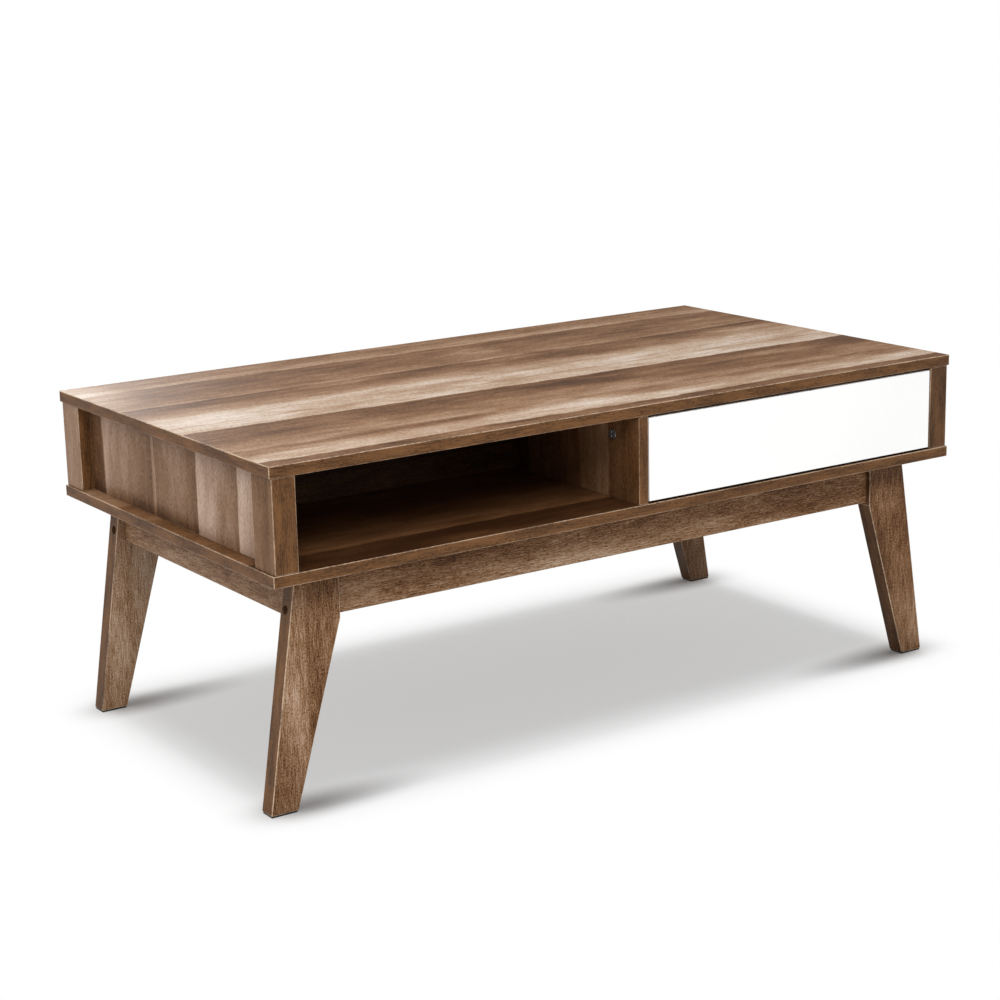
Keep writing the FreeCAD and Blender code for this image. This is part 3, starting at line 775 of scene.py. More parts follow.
@dataclass(frozen=True)
class PlateMaker:
    """Makes boards with rounded edges from a convex outline."""

    rounding: float = 0.8 * MM
    trim: float = 0.35 * MM
    corner_steps: int = 4
    fillet_steps: int = 4

    def around(self, outline: np.ndarray) -> tuple[np.ndarray, np.ndarray, np.ndarray, np.ndarray]:
        """Works out the columns round an outline.

        Each corner has a fan of directions between its two edges' normals, and one column a trim width to
        either side of it, where the pale line of the edge has faded.

        Args:
            outline: corners in order, anticlockwise.
        Returns:
            Core points, outward directions, corner shares and inner points, one row for each column.
        """
        edges = np.roll(outline, -1, 0) - outline
        tangents = edges / np.linalg.norm(edges, axis=1, keepdims=True)
        normals = np.stack([tangents[:, 1], -tangents[:, 0]], 1)
        before = np.roll(normals, 1, 0)
        cosines = np.sum(before * normals, 1, keepdims=True)
        pull = (before + normals) / (1 + cosines)
        core = outline - self.rounding * pull
        turn = np.arccos(np.clip(cosines, -1, 1))
        fan = np.concatenate([[0], np.linspace(0, 1, self.corner_steps + 1), [1]])
        angles = np.arctan2(before[:, 1:], before[:, :1]) + turn * fan
        shift = np.zeros((len(outline), len(fan), 2))
        shift[:, 0] = -self.trim * np.roll(tangents, 1, 0)
        shift[:, -1] = self.trim * tangents
        directions = np.stack([np.cos(angles), np.sin(angles)], -1)
        shares = np.ones(angles.shape)
        shares[:, [0, -1]] = 0
        inner = np.repeat((core - self.trim * pull)[:, None], len(fan), 1)
        points = core[:, None] + shift
        return points.reshape(-1, 2), directions.reshape(-1, 2), shares.ravel(), inner.reshape(-1, 2)

    def plate(self, outline: np.ndarray, low: float, high: float, lines: Pair = (1.0, 1.0)) -> Shell:
        """Makes a board: the outline drawn in by the rounding, swept by a ball of that radius.

        A point is core(s) + rounding sin(t) direction(s) at height low + rounding (1 - cos(t)), for t from 0
        to a quarter turn, and the same from the high face.

        Args:
            outline: corners in order, anticlockwise, along and across the grain.
            low: height of the lower face.
            high: height of the upper face.
            lines: strength of the pale line at the lower and at the upper edge.
        Returns:
            The board's shell, in outline and height coordinates.
        """
        core, directions, corner_share, inner = self.around(outline)
        sweep = np.linspace(0, math.pi / 2, self.fillet_steps + 1)
        rise = self.rounding * (1 - np.cos(sweep))
        reach = self.rounding * np.concatenate([np.sin(sweep), [1, 1], np.sin(sweep)[::-1]])
        margin = self.rounding + self.trim
        sides = [low + margin, high - margin]
        heights = np.concatenate([[low], low + rise, sides, high - rise[::-1], [high]])
        flat = core[None] + reach[:, None, None] * directions[None]
        flat = np.concatenate([inner[None], flat, inner[None]])
        rows, columns = flat.shape[:2]
        middle = self.fillet_steps + 2
        share = np.repeat(np.array(lines), rows // 2)[:, None] * np.ones(columns)
        share[[0, -1]] = 0
        share[middle:middle + 2] = corner_share
        points = np.concatenate([flat, np.broadcast_to(heights[:, None, None], (rows, columns, 1))], -1)
        finish = np.full(rows - 1, RIM)
        finish[[0, -1]] = FACE
        caps = np.arange(len(outline))[None] * (columns // len(outline))
        return Shell.from_grid(points, finish, share, self.print_places(points, middle), caps)

    def print_places(self, points: np.ndarray, middle: int) -> np.ndarray:
        """Lays the print on a plate: the faces by their plane, the rim by the way round it and its height.

        Args:
            points: the plate's rings of points.
            middle: number of the ring by which the way round is measured.
        Returns:
            The print place of each corner of each strip face.
        """
        rows, columns = points.shape[:2]
        rim = np.linalg.norm(np.diff(points[middle], axis=0, append=points[middle][:1]), axis=1)
        travel = np.concatenate([[0], np.cumsum(rim)])
        wide = np.concatenate([points, points[:, :1]], 1)
        around = np.stack([np.broadcast_to(travel, (rows, columns + 1)), wide[..., 2]], -1)
        on_faces, on_rim = (
            np.stack([grid[:-1, :-1], grid[:-1, 1:], grid[1:, 1:], grid[1:, :-1]], 2)
            for grid in (wide[..., :2], around)
        )
        on_rim[[0, -1]] = on_faces[[0, -1]]
        return on_rim


def rectangle(low: np.ndarray, high: np.ndarray) -> np.ndarray:
    """Gives a rectangle's corners, anticlockwise."""
    return np.array([[low[0], low[1]], [high[0], low[1]], [high[0], high[1]], [low[0], high[1]]])


def box_plate(low: np.ndarray, high: np.ndarray, through: Axis, rounding: float) -> Shell:
    """Makes a rounded plate that fills a box.

    Args:
        low: the box's lowest corner.
        high: its highest corner.
        through: the axis of the plate's thickness.
        rounding: radius of its edges.
    Returns:
        The plate, in the frame.
    """
    along, across = (axis for axis in Axis if axis is not through)
    pick = [along.value, across.value]
    maker = PlateMaker(rounding, rounding)
    plate = maker.plate(rectangle(low[pick], high[pick]), low[through.value], high[through.value])
    return plate.stood(along, across, through)


def turning_angles(columns: int = 48) -> np.ndarray:
    """Gives the angles of a turned surface's columns."""
    return np.linspace(0, 2 * math.pi, columns, endpoint=False)


def turned(radii: np.ndarray, heights: np.ndarray, finish: np.ndarray | None = None,
           looped: bool = False) -> Shell:
    """Turns a profile: a point is (radius cos(angle), radius sin(angle), height).

    Args:
        radii: radius of each ring, or of each point of each ring.
        heights: height of each ring.
        finish: finish number of each strip between two rings.
        looped: whether the last ring joins the first.
    Returns:
        The turned shell, about its third coordinate.
    """
    angles = turning_angles()
    grid = np.broadcast_to(radii.reshape(len(heights), -1), (len(heights), len(angles)))
    tall = np.broadcast_to(heights[:, None], grid.shape)
    points = np.stack([grid * np.cos(angles), grid * np.sin(angles), tall], -1)
    strips = len(heights) - (0 if looped else 1)
    return Shell.from_grid(points, np.zeros(strips, int) if finish is None else finish, looped=looped)


def seated(shell: Shell, axis: Axis, way: int, base: np.ndarray) -> Shell:
    """Sets a turned shell on an axis of the frame.

    Args:
        shell: the shell about its third coordinate.
        axis: the frame's axis.
        way: 1 or -1 along it.
        base: where the shell's origin goes.
    Returns:
        The shell, in the frame.
    """
    order = [(axis.value + 1) % 3, (axis.value + 2) % 3]
    placed = np.empty_like(shell.corners)
    placed[:, [*order[::way], axis.value]] = shell.corners * np.array([1, 1, way])
    return replace(shell, corners=placed + base)


def corners_of(node: str) -> tuple[np.ndarray, np.ndarray]:
    """Gives a CAD node's lowest and highest corners as arrays."""
    low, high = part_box(node)
    return np.array(low), np.array(high)


def solids_of(node: str) -> list[np.ndarray]:
    """Splits a CAD node that holds several solids.

    Points that lie together count as one, and each takes the lowest label among those that its edges reach,
    until no label changes.

    Args:
        node: the node's name.
    Returns:
        The points of each solid.
    """
    mesh = frame["nodes"][node].data
    points = np.empty(len(mesh.vertices) * 3, np.float32)
    mesh.vertices.foreach_get("co", points)
    points = points.reshape(-1, 3).astype(float)
    ends = np.empty(len(mesh.edges) * 2, np.int32)
    mesh.edges.foreach_get("vertices", ends)
    _, same = np.unique(np.round(points / CAD_SAME_POINT).astype(np.int64), axis=0, return_inverse=True)
    same = same.reshape(-1)
    first, second = same[ends.reshape(-1, 2)].T
    label = np.arange(same.max() + 1)
    before = np.full_like(label, -1)
    while (label != before).any():
        before = label.copy()
        lowest = np.minimum(label[first], label[second])
        np.minimum.at(label, first, lowest)
        np.minimum.at(label, second, lowest)
        label = label[label]
    owner = label[same]
    return [points[owner == name] for name in np.unique(owner)]


def add_piece(name: str, shell: Shell, finishes: list[Finish], node: str) -> None:
    """Adds a finished piece that stands for a CAD node and rides with its body.

    Args:
        name: the piece's name.
        shell: its surface, in the frame.
        finishes: its finishes, in the order of the shell's finish numbers.
        node: the CAD node that it stands for.
    """
    piece = bpy.data.objects.new(name, shell.mesh(name))
    for finish in finishes:
        piece.data.materials.append(finish.material())
    bpy.context.scene.collection.objects.link(piece)
    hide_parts(node)
    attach(piece, BODY_OF[node])
    LOG.info("%s: %d faces on %s", name, len(piece.data.polygons), BODY_OF[node])


@dataclass(frozen=True)
class Board:
    """One flat board: the CAD node that it stands for, how its grain and thickness lie, and its finishes.

    A board that butts against others with the ends of its grain has no pale line there.
    """

    node: str
    along: Axis
    through: Axis
    face: Finish
    rim: Finish
    cut_from: Pair = (0.0, 0.0)
    mirrored: bool = False
    lines: Pair = (1.0, 1.0)
    butted: bool = True
    rounding: float = 0.8 * MM

    def build(self) -> None:
        """Makes the board with its edge band, cut from its own place on the printed sheet."""
        low, high = corners_of(self.node)
        across = next(axis for axis in Axis if axis not in (self.along, self.through))
        pick = [self.along.value, across.value]
        outline = rectangle(low[pick], high[pick])
        plates = PlateMaker(self.rounding)
        shell = plates.plate(outline, low[self.through.value], high[self.through.value], self.lines)
        if self.butted:
            from_middle = np.abs(shell.corners[:, 0] - outline[:, 0].mean())
            inside = from_middle < np.ptp(outline[:, 0]) / 2 - self.rounding
            shell = replace(shell, edge=shell.edge * inside)
        places = shell.places * (-1 if self.mirrored else 1) + np.array(self.cut_from)
        placed = replace(shell, places=places).stood(self.along, across, self.through)
        add_piece(self.node + "_board", placed, [self.face, self.rim], self.node)


@dataclass(frozen=True)
class Leg:
    """A flat leg that splays along the table: upright beside the apron, then slanting to a narrow foot.

    Its outer edge is bored for the sunk bolt that holds it to the apron. Its side is the way along X from the
    table's middle.
    """

    node: str
    side: int
    shoulder_z: float
    tape: Finish
    cut_from: Pair
    top_width: float = 61 * MM
    foot_width: float = 38 * MM
    bore_clearance: float = 0.1 * MM
    head_shown: float = 1.0 * MM

    def build(self) -> None:
        """Makes the leg from its outline, with the print's grain upright and laid from its outer edge."""
        low, high = corners_of(self.node)
        inner, outer = (low[0], high[0]) if self.side > 0 else (high[0], low[0])
        outline = np.array([
            [high[2], inner],
            [high[2], inner + self.side * self.top_width],
            [low[2], outer],
            [low[2], outer - self.side * self.foot_width],
            [self.shoulder_z, inner],
        ])
        shell = PlateMaker().plate(outline[::self.side], low[1], high[1])
        on_face = np.stack([shell.places[:, 0], self.side * (outer - shell.places[:, 1])], -1)
        faces = np.repeat(shell.finish == FACE, shell.counts)[:, None]
        places = np.where(faces, on_face, shell.places) + np.array(self.cut_from)
        placed = replace(shell, places=places).stood(Axis.Z, Axis.X, Axis.Y)
        bolt = min(solids_of("leg_bolts"), key=lambda points: np.abs(points.mean(0) - low).sum())
        bolt_low, bolt_high = bolt.min(0), bolt.max(0)
        head = (bolt_low + bolt_high) / 2
        head[0] = bolt_high[0] if self.side > 0 else bolt_low[0]
        radius = (bolt_high[2] - bolt_low[2]) / 2 + self.bore_clearance
        bored = placed.bored(np.array([self.side, 0.0, 0.0]), head, radius, self.head_shown, BORE)
        add_piece(self.node + "_board", bored, [OAK_LEG, self.tape, BORED_BOARD], self.node)


def tape_of(corner: str) -> OakEdging:
    """Gives the edge tape of a corner's leg or post, which is painted darker at the right end, as shade where
    less light falls.
    """
    return SHADE_PAINTED_EDGING if corner.endswith(Side.RIGHT) else EDGING


@dataclass(frozen=True)
class Cabinet:
    """The fixed boards: top, bottom, ends, backs, divider and posts.

    The cuts are places on the printed sheet, in metres along and across its grain. The lines are strengths
    of the pale line at the lower and at the upper edge, weaker below, as the line is partly painted highlight
    from above.
    """

    divider_cut: Pair = (0.1, 0.9)
    right_end_cut: Pair = (0.7, 0.0)
    right_back_cut: Pair = (1.0, 0.0)
    post_cuts: tuple[tuple[str, Pair], ...] = (
        ("front_left", (0.0, 0.1)),
        ("front_right", (0.5, 0.25)),
        ("rear_left", (1.1, 0.4)),
        ("rear_right", (1.7, 0.0)),
    )
    top_lines: Pair = (0.35, 1.0)
    bottom_lines: Pair = (0.5, 0.8)
    divider_lines: Pair = (0.3, 0.3)
    post_lines: Pair = (0.7, 0.7)
    no_lines: Pair = (0.0, 0.0)

    def build(self) -> None:
        """Makes every board of the cabinet."""
        upright, spine, level = (Axis.Z, Axis.X), (Axis.X, Axis.Y), (Axis.X, Axis.Z)
        boards = [
            Board("top_panel", *level, OAK_TOP, EDGING, lines=self.top_lines, butted=False),
            Board("bottom_panel", *level, OAK_FLOOR, EDGING, lines=self.bottom_lines, butted=False),
            Board("centre_divider", *upright, OAK_FLOOR, EDGING, self.divider_cut, lines=self.divider_lines),
            Board("left_end_panel", *upright, OAK_END, EDGING),
            Board("right_end_panel", *upright, OAK_END, EDGING, self.right_end_cut, mirrored=True),
            Board("left_back_panel", *spine, SHADE_PAINTED_BACK, EDGING, lines=self.no_lines),
            Board("right_back_panel", *spine, SHADE_PAINTED_BACK, EDGING, self.right_back_cut, lines=self.no_lines),
        ]
        for corner, cut in self.post_cuts:
            tape = tape_of(corner)
            boards.append(Board(f"{corner}_post", *upright, OAK_POST, tape, cut, lines=self.post_lines))
        for board in boards:
            board.build()


@dataclass(frozen=True)
class Base:
    """Legs, aprons, glides and the blocks behind the aprons, with cuts and lines as the cabinet's."""

    shoulder_drop: float = 4 * MM
    pad_rounding: float = 0.5 * MM
    block_rounding: float = 1.0 * MM
    leg_cuts: tuple[tuple[str, Pair], ...] = (
        ("front_left", (0.0, 0.0)),
        ("rear_left", (1.0, 0.15)),
        ("front_right", (2.0, 0.3)),
        ("rear_right", (3.0, 0.45)),
    )
    apron_cuts: tuple[tuple[str, Axis, Axis, Pair], ...] = (
        ("front", Axis.X, Axis.Y, (3.5, 0.0)),
        ("rear", Axis.X, Axis.Y, (2.8, 0.0)),
        ("left", Axis.Y, Axis.X, (2.8, 0.0)),
        ("right", Axis.Y, Axis.X, (3.5, 0.0)),
    )
    apron_lines: Pair = (0.5, 0.5)

    def build(self) -> None:
        """Makes the legs, the aprons between them, the pads under them and the blocks."""
        shoulder = corners_of("front_apron")[0][2] - self.shoulder_drop
        for corner, cut in self.leg_cuts:
            side = 1 if corner.endswith(Side.RIGHT) else -1
            Leg(f"{corner}_leg", side, shoulder, tape_of(corner), cut).build()
        for name, along, through, cut in self.apron_cuts:
            Board(f"{name}_apron", along, through, OAK_APRON, EDGING, cut, lines=self.apron_lines).build()
        self.rounded_solids("foot_glides", "foot_pads", self.pad_rounding, BLACK_PAD)
        self.rounded_solids("glue_blocks", "planed_blocks", self.block_rounding, PINE)

    def rounded_solids(self, node: str, name: str, rounding: float, finish: Finish) -> None:
        """Makes a rounded plate for each box-shaped solid of a node.

        Args:
            node: the CAD node.
            name: the piece's name.
            rounding: radius of the plates' edges.
            finish: their finish.
        """
        boxes = [(points.min(0), points.max(0)) for points in solids_of(node)]
        shells = [box_plate(low, high, Axis.Z, rounding) for low, high in boxes]
        add_piece(name, Shell.joined(shells), [finish, finish], node)


@dataclass(frozen=True)
class BentSheet:
    """Sheet steel bent along its length."""

    thickness: float = 1.2 * MM
    bend: float = 1.8 * MM
    bend_steps: int = 4

    def centre_line(self, path: np.ndarray) -> np.ndarray:
        """Rounds a path's corners.

        A bend is the curve (1-t)(1-t) A + 2t(1-t) P + t t B, where P is the corner and A and B are one bend
        radius before and after it.

        Args:
            path: the corners of the section's middle line.
        Returns:
            The rounded line's points.
        """
        steps = np.diff(path, axis=0)
        steps = steps / np.linalg.norm(steps, axis=1, keepdims=True)
        corner = path[1:-1, None]
        before = corner - self.bend * steps[:-1, None]
        after = corner + self.bend * steps[1:, None]
        t = np.linspace(0, 1, self.bend_steps + 1)[None, :, None]
        bends = (1 - t) ** 2 * before + 2 * t * (1 - t) * corner + t ** 2 * after
        return np.concatenate([path[:1], bends.reshape(-1, 2), path[-1:]])

    def shell(self, path: np.ndarray, low: float, high: float) -> Shell:
        """Carries the sheet's section straight from one end to the other.

        Args:
            path: the corners of the section's middle line, in X and Z.
            low: the Y of one end.
            high: the Y of the other.
        Returns:
            The bent sheet, in the frame.
        """
        line = self.centre_line(path)
        along = np.gradient(line, axis=0)
        along = along / np.linalg.norm(along, axis=1, keepdims=True)
        offset = np.stack([along[:, 1], -along[:, 0]], 1) * self.thickness / 2
        ring = np.concatenate([line + offset, (line - offset)[::-1]])
        following = np.roll(ring, -1, 0)
        if np.sum(ring[:, 0] * following[:, 1] - ring[:, 1] * following[:, 0]) < 0:
            ring = ring[::-1]
        ends = np.broadcast_to(np.array([low, high])[:, None, None], (2, len(ring), 1))
        points = np.concatenate([np.broadcast_to(ring, (2, *ring.shape)), ends], -1)
        first = np.arange(len(line) - 1)
        last = len(ring) - 1 - first
        caps = np.stack([first, first + 1, last - 1, last], -1)
        return Shell.from_grid(points, np.zeros(1, int), caps=caps).stood(Axis.X, Axis.Z, Axis.Y)


@dataclass(frozen=True)
class Turning:
    """A turned solid as it is read from the CAD: its axis, the way to its head, its foot and its sizes."""

    axis: Axis
    way: int
    base: np.ndarray
    length: float
    radius: float
    shank: float
    head: float

    @classmethod
    def read(cls, points: np.ndarray) -> "Turning":
        """Reads a fastener's points.

        The axis is the one whose two other extents are alike. The head is at the wider end. A barrel that is
        equally wide at both has it at the end with more points near its middle, which are the driver slot's.

        Args:
            points: the solid's points.
        Returns:
            What was read.
        """
        end_depth, slot_depth, head_step = 0.2 * MM, 0.05 * MM, 0.3 * MM
        inner_share, outer_share = 0.7, 0.9
        low, high = points.min(0), points.max(0)
        extent, middle = high - low, (low + high) / 2
        axis = int(np.abs(np.roll(extent, -1) - np.roll(extent, -2)).argmin())
        radial = np.linalg.norm(np.delete(points - middle, axis, 1), axis=1)
        wide = radial.max()
        gaps = points[:, axis] - low[axis], high[axis] - points[:, axis]
        low_radius, high_radius = (radial[gap < end_depth].max() for gap in gaps)
        inner = radial < inner_share * wide
        low_slot, high_slot = (int((inner & (gap < slot_depth)).sum()) for gap in gaps)
        headed = abs(high_radius - low_radius) > head_step
        upward = high_radius > low_radius if headed else high_slot > low_slot
        base = middle.copy()
        base[axis] = low[axis] if upward else high[axis]
        head = gaps[1 if upward else 0][radial > outer_share * wide].max()
        shank = min(low_radius, high_radius)
        return cls(Axis(axis), 1 if upward else -1, base, extent[axis], wide, shank, head)


class Recess(Enum):
    """The driver recess of a fastener's head."""

    CROSS = "cross"
    HEXAGON = "hexagon"

    def radii(self, size: float, width: float = 0.0) -> np.ndarray:
        """Gives the recess's radius at each angle.

        A cross is the larger of two slots' radii, and a slot's radius is the smaller of size / |cos| and
        width / |sin|. A hexagon's is size over the cosine of the angle to its nearest side's middle.

        Args:
            size: half the cross's span, or half the hexagon's width.
            width: half the width of the cross's slots.
        Returns:
            One radius for each of a turned surface's columns.
        """
        # A little off the axes, where the slots' formula would divide by nothing.
        off_axis = 1e-6
        angles = turning_angles() + off_axis
        if self is Recess.HEXAGON:
            return size / np.cos((angles + math.pi / 6) % (math.pi / 3) - math.pi / 6)
        cosine, sine = np.abs(np.cos(angles)), np.abs(np.sin(angles))
        return np.maximum(np.minimum(size / cosine, width / sine), np.minimum(size / sine, width / cosine))


@dataclass(frozen=True)
class Fastenings:
    """Cam locks, bolts and screws, with driver recesses.

    A wide head has a hexagon. One that is thin lies flush and stands a little proud of its board, and a
    thick one lies sunk in a bore. Recesses and grooves are shares of the head's radius.
    """

    names: tuple[tuple[str, str], ...] = (
        ("cam_locks", "cam_lock_barrels"),
        ("leg_bolts", "sunk_leg_bolts"),
        ("panel_screws", "hex_panel_screws"),
        ("block_screws", "pan_block_screws"),
        ("fitting_screws", "pan_fitting_screws"),
        ("front_drawer_fasteners", "front_drawer_fittings"),
        ("rear_drawer_fasteners", "rear_drawer_fittings"),
    )
    proud: float = 0.35 * MM
    flush_recess: float = 0.3 * MM
    wide_radius: float = 4.5 * MM
    sunk_head: float = 4 * MM
    sunk_recess: float = 2.5 * MM
    pan_recess: float = 1.1 * MM
    pan_recess_share: float = 0.7
    recess_taper: float = 0.9
    dome_share: float = 0.4
    dome_steps: int = 3
    point_share: float = 1.5
    cam_groove: tuple[float, ...] = (0.87, 0.85, 0.79, 0.77)
    cam_step: float = 0.2 * MM
    cam_cross: Pair = (0.55, 0.11)
    pan_cross: Pair = (0.5, 0.13)
    hexagon: float = 0.42

    def build(self) -> None:
        """Makes the fasteners of the cabinet and of both drawers."""
        for node, name in self.names:
            shells = [self.fastener(Turning.read(points)) for points in solids_of(node)]
            add_piece(name, Shell.joined(shells), [ZINC_PLATE, SHADED_RECESS_STEEL, SHADE_PAINTED_ZINC], node)

    def fastener(self, read: Turning) -> Shell:
        """Makes a cam barrel, or a screw or bolt, by the solid's sizes.

        Args:
            read: the solid's sizes.
        Returns:
            The fastener, in the frame.
        """
        shell = self.cam(read) if read.length < 2 * read.radius else self.screw(read)
        return seated(shell, read.axis, read.way, read.base)

    def headed(self, rings: list[Pair], recess: np.ndarray, depth: float,
               finish: list[int] | None = None) -> Shell:
        """Turns a fastener from its foot to its head's rim, and closes it with a recess.

        Args:
            rings: radius and height of each ring, the last at the head's top.
            recess: the recess's radius at each angle.
            depth: the recess's depth.
            finish: finish number of each strip; if there is none, plated with a recess painted dark as shade.
        Returns:
            The fastener, standing on its foot.
        """
        plain = np.array(rings)
        top = plain[-1, 1]
        radii = np.repeat(plain[:, :1], len(recess), 1)
        radii = np.concatenate([radii, recess * np.array([[1.0], [self.recess_taper], [0.0]])])
        heights = np.concatenate([plain[:, 1], [top, top - depth, top - depth]])
        return turned(radii, heights, np.array(finish or [PLATED] * len(rings) + [RECESSED] * 2))

    def cam(self, read: Turning) -> Shell:
        """Makes a cam barrel with a ring groove, dark cast zinc as painted shade, and a bright plated rim and
        cross as painted highlight.

        Args:
            read: the solid's sizes.
        Returns:
            The barrel, standing on its foot.
        """
        top, wide, step = read.length + self.proud, read.radius, self.cam_step
        groove = [(share * wide, top - drop) for share, drop in zip(self.cam_groove, (0, step, step, 0))]
        rings = [(0, 0), (wide, 0), (wide, top - step), (wide - step, top), *groove]
        # The bright plate on the chamfered rim and the cross is painted highlight; the dark cast zinc is
        # painted shade.
        finish = [CAST] * 2 + [PLATED] * 2 + [CAST] * 4 + [PLATED] * 2
        cross = Recess.CROSS.radii(*(share * wide for share in self.cam_cross))
        return self.headed(rings, cross, self.flush_recess, finish)

    def screw(self, read: Turning) -> Shell:
        """Makes a screw or bolt with a point, a shank and a head that is flush, sunk or domed.

        Args:
            read: the solid's sizes.
        Returns:
            The screw, standing on its point.
        """
        hexagon, sunk = read.radius > self.wide_radius, read.head > self.sunk_head
        wide, shank, neck = read.radius, read.shank, read.length - read.head
        top = read.length + (self.proud if hexagon and not sunk else 0)
        dome = self.dome_share * (self.proud if hexagon else read.head)
        bend = np.linspace(0, math.pi / 2, self.dome_steps + 1)
        rings = [(0, 0), (shank, self.point_share * shank), (shank, neck), (wide, neck)]
        rings += np.stack([wide - dome * (1 - np.cos(bend)), top - dome * (1 - np.sin(bend))], 1).tolist()
        if hexagon:
            depth = self.sunk_recess if sunk else self.flush_recess
            return self.headed(rings, Recess.HEXAGON.radii(self.hexagon * wide), depth)
        depth = min(self.pan_recess, self.pan_recess_share * read.head)
        return self.headed(rings, Recess.CROSS.radii(*(share * wide for share in self.pan_cross)), depth)


class Member(StrEnum):
    """The two members of a drawer runner, as the nodes' names say them."""

    CABINET = "cabinet"
    DRAWER = "drawer"


@dataclass(frozen=True)
class Drawer:
    """One drawer with its white front, its box, runners, rollers and push latch.

    The roller's side is its profile from the tread to the hub, as shares of its radius and of half its width.
    """

    end: End
    sheet: BentSheet = BentSheet()
    thin_rounding: float = 0.4 * MM
    case_rounding: float = 0.8 * MM
    case_width: float = 24 * MM
    flange_rounding: float = 0.5 * MM
    flange: float = 3 * MM
    bumper: float = 3 * MM
    pin_step: float = 0.8 * MM
    axle_radius: float = 2.5 * MM
    axle_chamfer: float = 0.4 * MM
    axle_out: float = 0.3 * MM
    bore_clearance: float = 0.05 * MM
    bore_share: float = 0.88
    roller_side: tuple[Pair, ...] = (
        (1.0, 0.77), (0.97, 0.94), (0.91, 1.0), (0.80, 1.0), (0.76, 0.83), (0.53, 0.83), (0.49, 1.0),
    )

    def build(self) -> None:
        """Makes the drawer, its runners and its latch."""
        self.box()
        for side in Side:
            for member in Member:
                self.runner(member, side)
        for member in Member:
            node = f"{self.end}_{member}_rollers"
            shells = [self.roller(points) for points in solids_of(node)]
            add_piece(node + "_moulded", Shell.joined(shells), [NYLON], node)
        self.latch()

    def box(self) -> None:
        """Makes the front and the four boards of the box behind it."""
        across, deep, level = (Axis.X, Axis.Y), (Axis.Y, Axis.X), (Axis.X, Axis.Z)
        name = f"{self.end}_drawer_"
        Board(name + "front", *across, LACQUER, LACQUER).build()
        for side in Side:
            Board(f"{name}{side}_wall", *deep, MELAMINE, MELAMINE).build()
        Board(name + "back", *across, MELAMINE, MELAMINE).build()
        Board(name + "bottom", *level, HARDBOARD, HARDBOARD, rounding=self.thin_rounding).build()

    def into(self, side: Side) -> int:
        """Finds the way from a runner to the middle of its compartment.

        Args:
            side: the runner's side.
        Returns:
            1 or -1 along X.
        """
        names = (f"{self.end}_cabinet_runner_{side}", f"{self.end}_drawer_front")
        runner, front = (sum(corners_of(name))[0] for name in names)
        return 1 if runner < front else -1

    def axle(self, rollers: str, web_x: float, way: int) -> Shell:
        """Makes a riveted axle from a runner's web through the roller beside it.

        Args:
            rollers: the rollers' node.
            web_x: the X of the web.
            way: 1 or -1 along X to the roller.
        Returns:
            The axle, in the frame.
        """
        near = min(solids_of(rollers), key=lambda points: abs(points[:, 0].mean() - web_x))
        middle = (near.min(0) + near.max(0)) / 2
        length = abs(middle[0] - web_x) + np.ptp(near[:, 0]) / 2 + self.axle_out
        wide, chamfer = self.axle_radius, self.axle_chamfer
        heights = np.array([0, 0, length - chamfer, length, length])
        radii = np.array([0, wide, wide, wide - chamfer, 0])
        return seated(turned(radii, heights), Axis.X, way, np.array([web_x, middle[1], middle[2]]))

    def runner(self, member: Member, side: Side) -> None:
        """Makes one member of a runner from bent sheet: a foot, a web and a flange, with its roller's axle.

        The cabinet's member is a channel that opens to the drawer. The drawer's has its foot under the
        drawer's wall, its web beside the wall and its flange over the cabinet's roller.

        Args:
            member: which of the two.
            side: its side of the compartment.
        """
        node = f"{self.end}_{member}_runner_{side}"
        low, high = corners_of(node)
        way = self.into(side)
        near, far = (low[0], high[0]) if way > 0 else (high[0], low[0])
        half = self.sheet.thickness / 2
        if member is Member.CABINET:
            web, flange, out = near + way * half, far, way
        else:
            wall_low, wall_high = corners_of(f"{self.end}_drawer_{side}_wall")
            wall = wall_low[0] if way > 0 else wall_high[0]
            web, flange, out = wall - way * half, near, -way
        foot, top = low[2] + half, high[2] - half
        path = np.array([[far, foot], [web, foot], [web, top], [flange, top]])
        axle = self.axle(f"{self.end}_{member}_rollers", web, out)
        shell = Shell.joined([self.sheet.shell(path, low[1], high[1]), axle])
        add_piece(node + "_bent", shell, [POWDER_COAT], node)

    def roller(self, points: np.ndarray) -> Shell:
        """Turns a roller with a rounded tread, a sunk web and a bored hub, as a closed loop of rings.

        The loop is one side's profile down to the bore, then the same mirrored.

        Args:
            points: the roller's points in the CAD.
        Returns:
            The roller, in the frame.
        """
        low, high = points.min(0), points.max(0)
        half, wide = (high[0] - low[0]) / 2, (high[2] - low[2]) / 2
        bore = self.axle_radius + self.bore_clearance
        hub = np.array([[bore + self.axle_chamfer, half], [bore, self.bore_share * half]])
        side = np.concatenate([np.array(self.roller_side) * [wide, half], hub])
        loop = np.concatenate([side, side[::-1] * [1, -1]])
        return seated(turned(loop[:, 0], loop[:, 1], looped=True), Axis.X, 1, (low + high) / 2)

